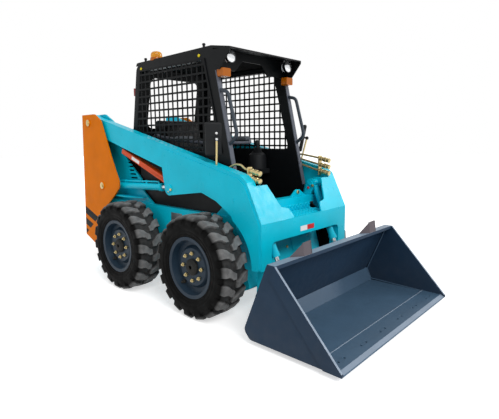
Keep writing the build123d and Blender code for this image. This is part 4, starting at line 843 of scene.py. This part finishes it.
# ---- Prop: its blank label
PROP_FOOT = Vector((-72, -534.5, 956))      # the pivot, on the prop's outer face
PROP_LIES = radians(159.7)
prop_ahead = Vector((cos(PROP_LIES), 0, sin(PROP_LIES)))
prop_up = Vector((-prop_ahead.z, 0, prop_ahead.x))
label_middle = PROP_FOOT + prop_ahead * 480
half_length, half_height = prop_ahead * 62, prop_up * 14
label = Piece("prop_label", "prop_red", "arm_prop", "blank_white")
label.slab([label_middle + half_length + half_height, label_middle - half_length + half_height,
            label_middle - half_length - half_height, label_middle + half_length - half_height],
           (0, -1.2, 0))
label.done()

# ---- Lift cylinders: pipes over the barrels, on two saddles each
barrel_ahead = Vector((1030, 0, 46)).normalized()
barrel_up = Vector((-barrel_ahead.z, 0, barrel_ahead.x))
barrel_foot = Vector((-1045, -507, 863))


def by_barrel(along, up, out):
    """A place along a lift barrel, above its axis and towards the machine's left."""
    return barrel_foot + barrel_ahead * along + barrel_up * up + Vector((0, out, 0))


pipes = Piece("lift_barrel_pipes", "machine_blue", "lift_barrels")
pipe_path = [(830, 24), (830, 46), (150, 46), (90, 26)]
pipes.pipe([by_barrel(along, up, 0) for along, up in pipe_path], 8, sides=14, bend=16)
for along in (300, 640):
    pipes.block(by_barrel(along, 20, -9), by_barrel(along + 16, 56, 9), round_by=2)
pipes.mirrored().done()

# ---- Chassis
# Painted shade: near-black sheets behind the louvres
louvre_shade = Piece("louvre_shade_backs", "chassis_black", "chassis", "lining_black")
louvre_shade.block((-812, -441, 925), (-600, -437, 1150))
louvre_shade.mirrored().done()
plate = Piece("chassis_side_plate", "machine_blue", "chassis", "plate_grey")
plate.block((-98, -481.4, 612), (48, -479.5, 690), round_by=0.5)
plate.done()
# The chassis' front slopes forwards from its top edge down
FRONT_TOP_X, FRONT_TOP_Z = 662, 730
FRONT_DROP, FRONT_RUN = 513, 147
front_bolts = Piece("chassis_front_bolts", "zinc_steel", "chassis")
for y, z in ((37, 429), (-330, 470), (330, 470), (37, 300)):
    x = FRONT_TOP_X + (FRONT_TOP_Z - z) * FRONT_RUN / FRONT_DROP
    front_bolts.head((x, y, z), (FRONT_DROP, 0, FRONT_RUN), 13, 8, sides=6, sunk=3, rim=(3, 2))
front_bolts.done()
lashing = Piece("chassis_foot_bolts", "cab_plastic", "chassis")
for x in (640, 700):
    lashing.head((x, -480, 232), OUT, 10, 9, sides=6, rim=(2, 2))
lashing.mirrored().done()

# Engine mounts between the tub's floor and the engine
ENGINE_FOOT = 301
HALF_MOUNT = 32
MOUNT_Y = -168
mounts = Piece("engine_mounts", "engine_iron", "chassis")
for x, floor in ((-1220, 220), (-780, 211)):
    mounts.block((x - HALF_MOUNT, MOUNT_Y - HALF_MOUNT, floor),
                 (x + HALF_MOUNT, MOUNT_Y + HALF_MOUNT, ENGINE_FOOT), round_by=3)
mounts.mirrored().done()

# ---- Rear door latch
latch = Piece("door_latch", "cab_plastic", "rear_door")
latch.block((-1436, -384, 800), (-1412, -344, 872), round_by=6)
latch.block((-1440, -372, 812), (-1430, -356, 860), round_by=4)
latch.done()

# ---- Bucket: painted highlights on its edges, painted sheen on its floor, step plates, the strip in the fold and the weld beads
SIDE_FACE_Y = -800              # outside of the right side plate
INNER_Y = 781
BEAD_Y = 780
LIP_Z = 557.4
FLOOR_Z = 45
FOLD_X, FLOOR_FRONT_X = 1129, 1590
edge_out = Vector((508, 0, 466)).normalized()       # square to the side plate's sloping edge


def strip(piece, rear, front, over, half=INNER_Y):
    """A thin sheet across the bucket between two (x, z) places, standing proud by a vector."""
    (rear_x, rear_z), (front_x, front_z) = rear, front
    piece.slab([(rear_x, -half, rear_z), (front_x, -half, front_z),
                (front_x, half, front_z), (rear_x, half, rear_z)], over)


# Painted highlights: light strips along the side plates' front edges, the top lip and the cutting edge's
# front
painted_highlight = Piece("bucket_edge_highlights", "bucket_slate", "bucket", "worn_edge")
top = Vector((1301, SIDE_FACE_Y + 1.5, 557)) + edge_out * -1.2
foot = Vector((1762, SIDE_FACE_Y + 1.5, 54)) + edge_out * -1.2
painted_highlight.slab([top, foot, foot + Vector((0, 15.5, 0)), top + Vector((0, 15.5, 0))], edge_out * 1.9)
painted_highlight.mirrored()
strip(painted_highlight, (1240, 558.2), (1298, 557.6), (0, 0, 1.6), 790)
strip(painted_highlight, (1733, 52.6), (1764.5, 38.4), (0.4, 0, 0.9))
painted_highlight.done()
# Painted sheen: a lighter bluish sheet over the bucket's floor
floor_sheen = Piece("bucket_floor_sheen", "bucket_slate", "bucket", "worn_floor")
strip(floor_sheen, (FOLD_X, FLOOR_Z), (FLOOR_FRONT_X, FLOOR_Z), (0, 0, 0.9))
floor_sheen.done()

# Step plates on the lip: a front panel and a gusset folded back on each side
STEP_SHEET = 9
STEP_FRONT, STEP_BACK, STEP_LEAN = 1298, 1243, 10
steps = Piece("step_plates", "step_grey", "bucket", replaces=["bucket_steps"])
for low_y, high_y, reach in ((-494, -401, -87), (397, 499, -78)):
    foot_right, foot_left = (STEP_FRONT, low_y, LIP_Z), (STEP_FRONT, high_y, LIP_Z)
    top_right, top_left = (STEP_FRONT - STEP_LEAN, low_y + 2, 642), (STEP_FRONT - STEP_LEAN, high_y - 4, 646)
    steps.slab([foot_right, foot_left, top_left, top_right], (-STEP_SHEET, 0, 0))
    steps.slab([foot_right, top_right, (STEP_BACK, low_y + reach, LIP_Z)],
               (-STEP_SHEET * 0.5, STEP_SHEET * 0.8, 0))
    steps.slab([foot_left, top_left, (STEP_BACK, high_y - 6, LIP_Z)], (0, -STEP_SHEET, 0))
steps.done()

# The strip in the fold and the weld beads are lighter as a painted highlight
fold = Piece("bucket_fold_strip", "bucket_slate", "bucket", "worn_fold")
strip(fold, (1080.5, 148), (FOLD_X, 46), (1.2, 0, 0.9))
fold.done()
beads = Piece("bucket_weld_beads", "bucket_slate", "bucket", "worn_fold")
for path in ([(1088, 140), (1128, 58), (1590, 47)], [(1088, 140), (1238, 500)]):
    beads.pipe([(x, -BEAD_Y, z) for x, z in path], 5, sides=8)
beads.mirrored().done()
# The bead along the floor's front is coloured as a painted highlight
edge_bead = Piece("bucket_edge_bead", "bucket_slate", "bucket", "worn_edge")
edge_bead.pipe([(1588, -BEAD_Y, 49), (1588, BEAD_Y, 49)], 5.5, sides=8)
edge_bead.done()

# ---- Floor, light and background -----------------------------------------------------------
FLOOR_SIZE = 60.0
FLOOR_GREY = 0.8
SKY_STRENGTH = 0.62
# name, direction of the light, strength, softness in degrees
SUNS = [("key", (-0.75, 0.32, -0.75), 1.6, 25), ("fill", (-0.49, -0.75, -0.44), 0.8, 12)]
FLOOR_LIFT = 0.55               # what the camera sees on top of the lit floor


def seen_directly(tree):
    """1 for camera, glossy and transmission rays, which see the white surroundings."""
    path = tree.nodes.new("ShaderNodeLightPath")
    seen = path.outputs["Is Camera Ray"]
    for other in ("Is Glossy Ray", "Is Transmission Ray"):
        node = tree.nodes.new("ShaderNodeMath")
        node.operation = "MAXIMUM"
        tree.links.new(seen, node.inputs[0])
        tree.links.new(path.outputs[other], node.inputs[1])
        seen = node.outputs[0]
    return seen


def make_floor():
    mesh = bpy.data.meshes.new("floor")
    half = FLOOR_SIZE / 2
    corners = [(-half, -half, 0), (half, -half, 0), (half, half, 0), (-half, half, 0)]
    mesh.from_pydata(corners, [], [(0, 1, 2, 3)])
    floor = bpy.data.objects.new("floor", mesh)
    bpy.context.collection.objects.link(floor)
    mat = bpy.data.materials.new("floor")
    mat.use_nodes = True
    tree = mat.node_tree
    tree.nodes.clear()
    diffuse = tree.nodes.new("ShaderNodeBsdfDiffuse")
    diffuse.inputs["Color"].default_value = rgba(FLOOR_GREY)
    lift = tree.nodes.new("ShaderNodeEmission")
    strength = tree.nodes.new("ShaderNodeMath")
    strength.operation = "MULTIPLY"
    strength.inputs[1].default_value = FLOOR_LIFT
    tree.links.new(seen_directly(tree), strength.inputs[0])
    tree.links.new(strength.outputs[0], lift.inputs["Strength"])
    both = tree.nodes.new("ShaderNodeAddShader")
    tree.links.new(diffuse.outputs[0], both.inputs[0])
    tree.links.new(lift.outputs[0], both.inputs[1])
    out = tree.nodes.new("ShaderNodeOutputMaterial")
    tree.links.new(both.outputs[0], out.inputs["Surface"])
    floor.data.materials.append(mat)


def make_world():
    world = bpy.data.worlds.new("studio")
    world.use_nodes = True
    tree = world.node_tree
    back = tree.nodes["Background"]
    back.inputs["Color"].default_value = (1, 1, 1, 1)
    level = tree.nodes.new("ShaderNodeMapRange")
    level.inputs["To Min"].default_value = SKY_STRENGTH
    level.inputs["To Max"].default_value = 1.0
    tree.links.new(seen_directly(tree), level.inputs["Value"])
    tree.links.new(level.outputs["Result"], back.inputs["Strength"])
    bpy.context.scene.world = world


def make_sun(name, towards, strength, softness):
    data = bpy.data.lights.new(name, "SUN")
    data.energy = strength
    data.angle = radians(softness)
    lamp = bpy.data.objects.new(name, data)
    lamp.rotation_mode = "QUATERNION"
    lamp.rotation_quaternion = Vector(towards).to_track_quat("-Z", "Y")
    bpy.context.collection.objects.link(lamp)


make_floor()
make_world()
for sun in SUNS:
    make_sun(*sun)
bpy.context.scene.view_settings.view_transform = "Standard"
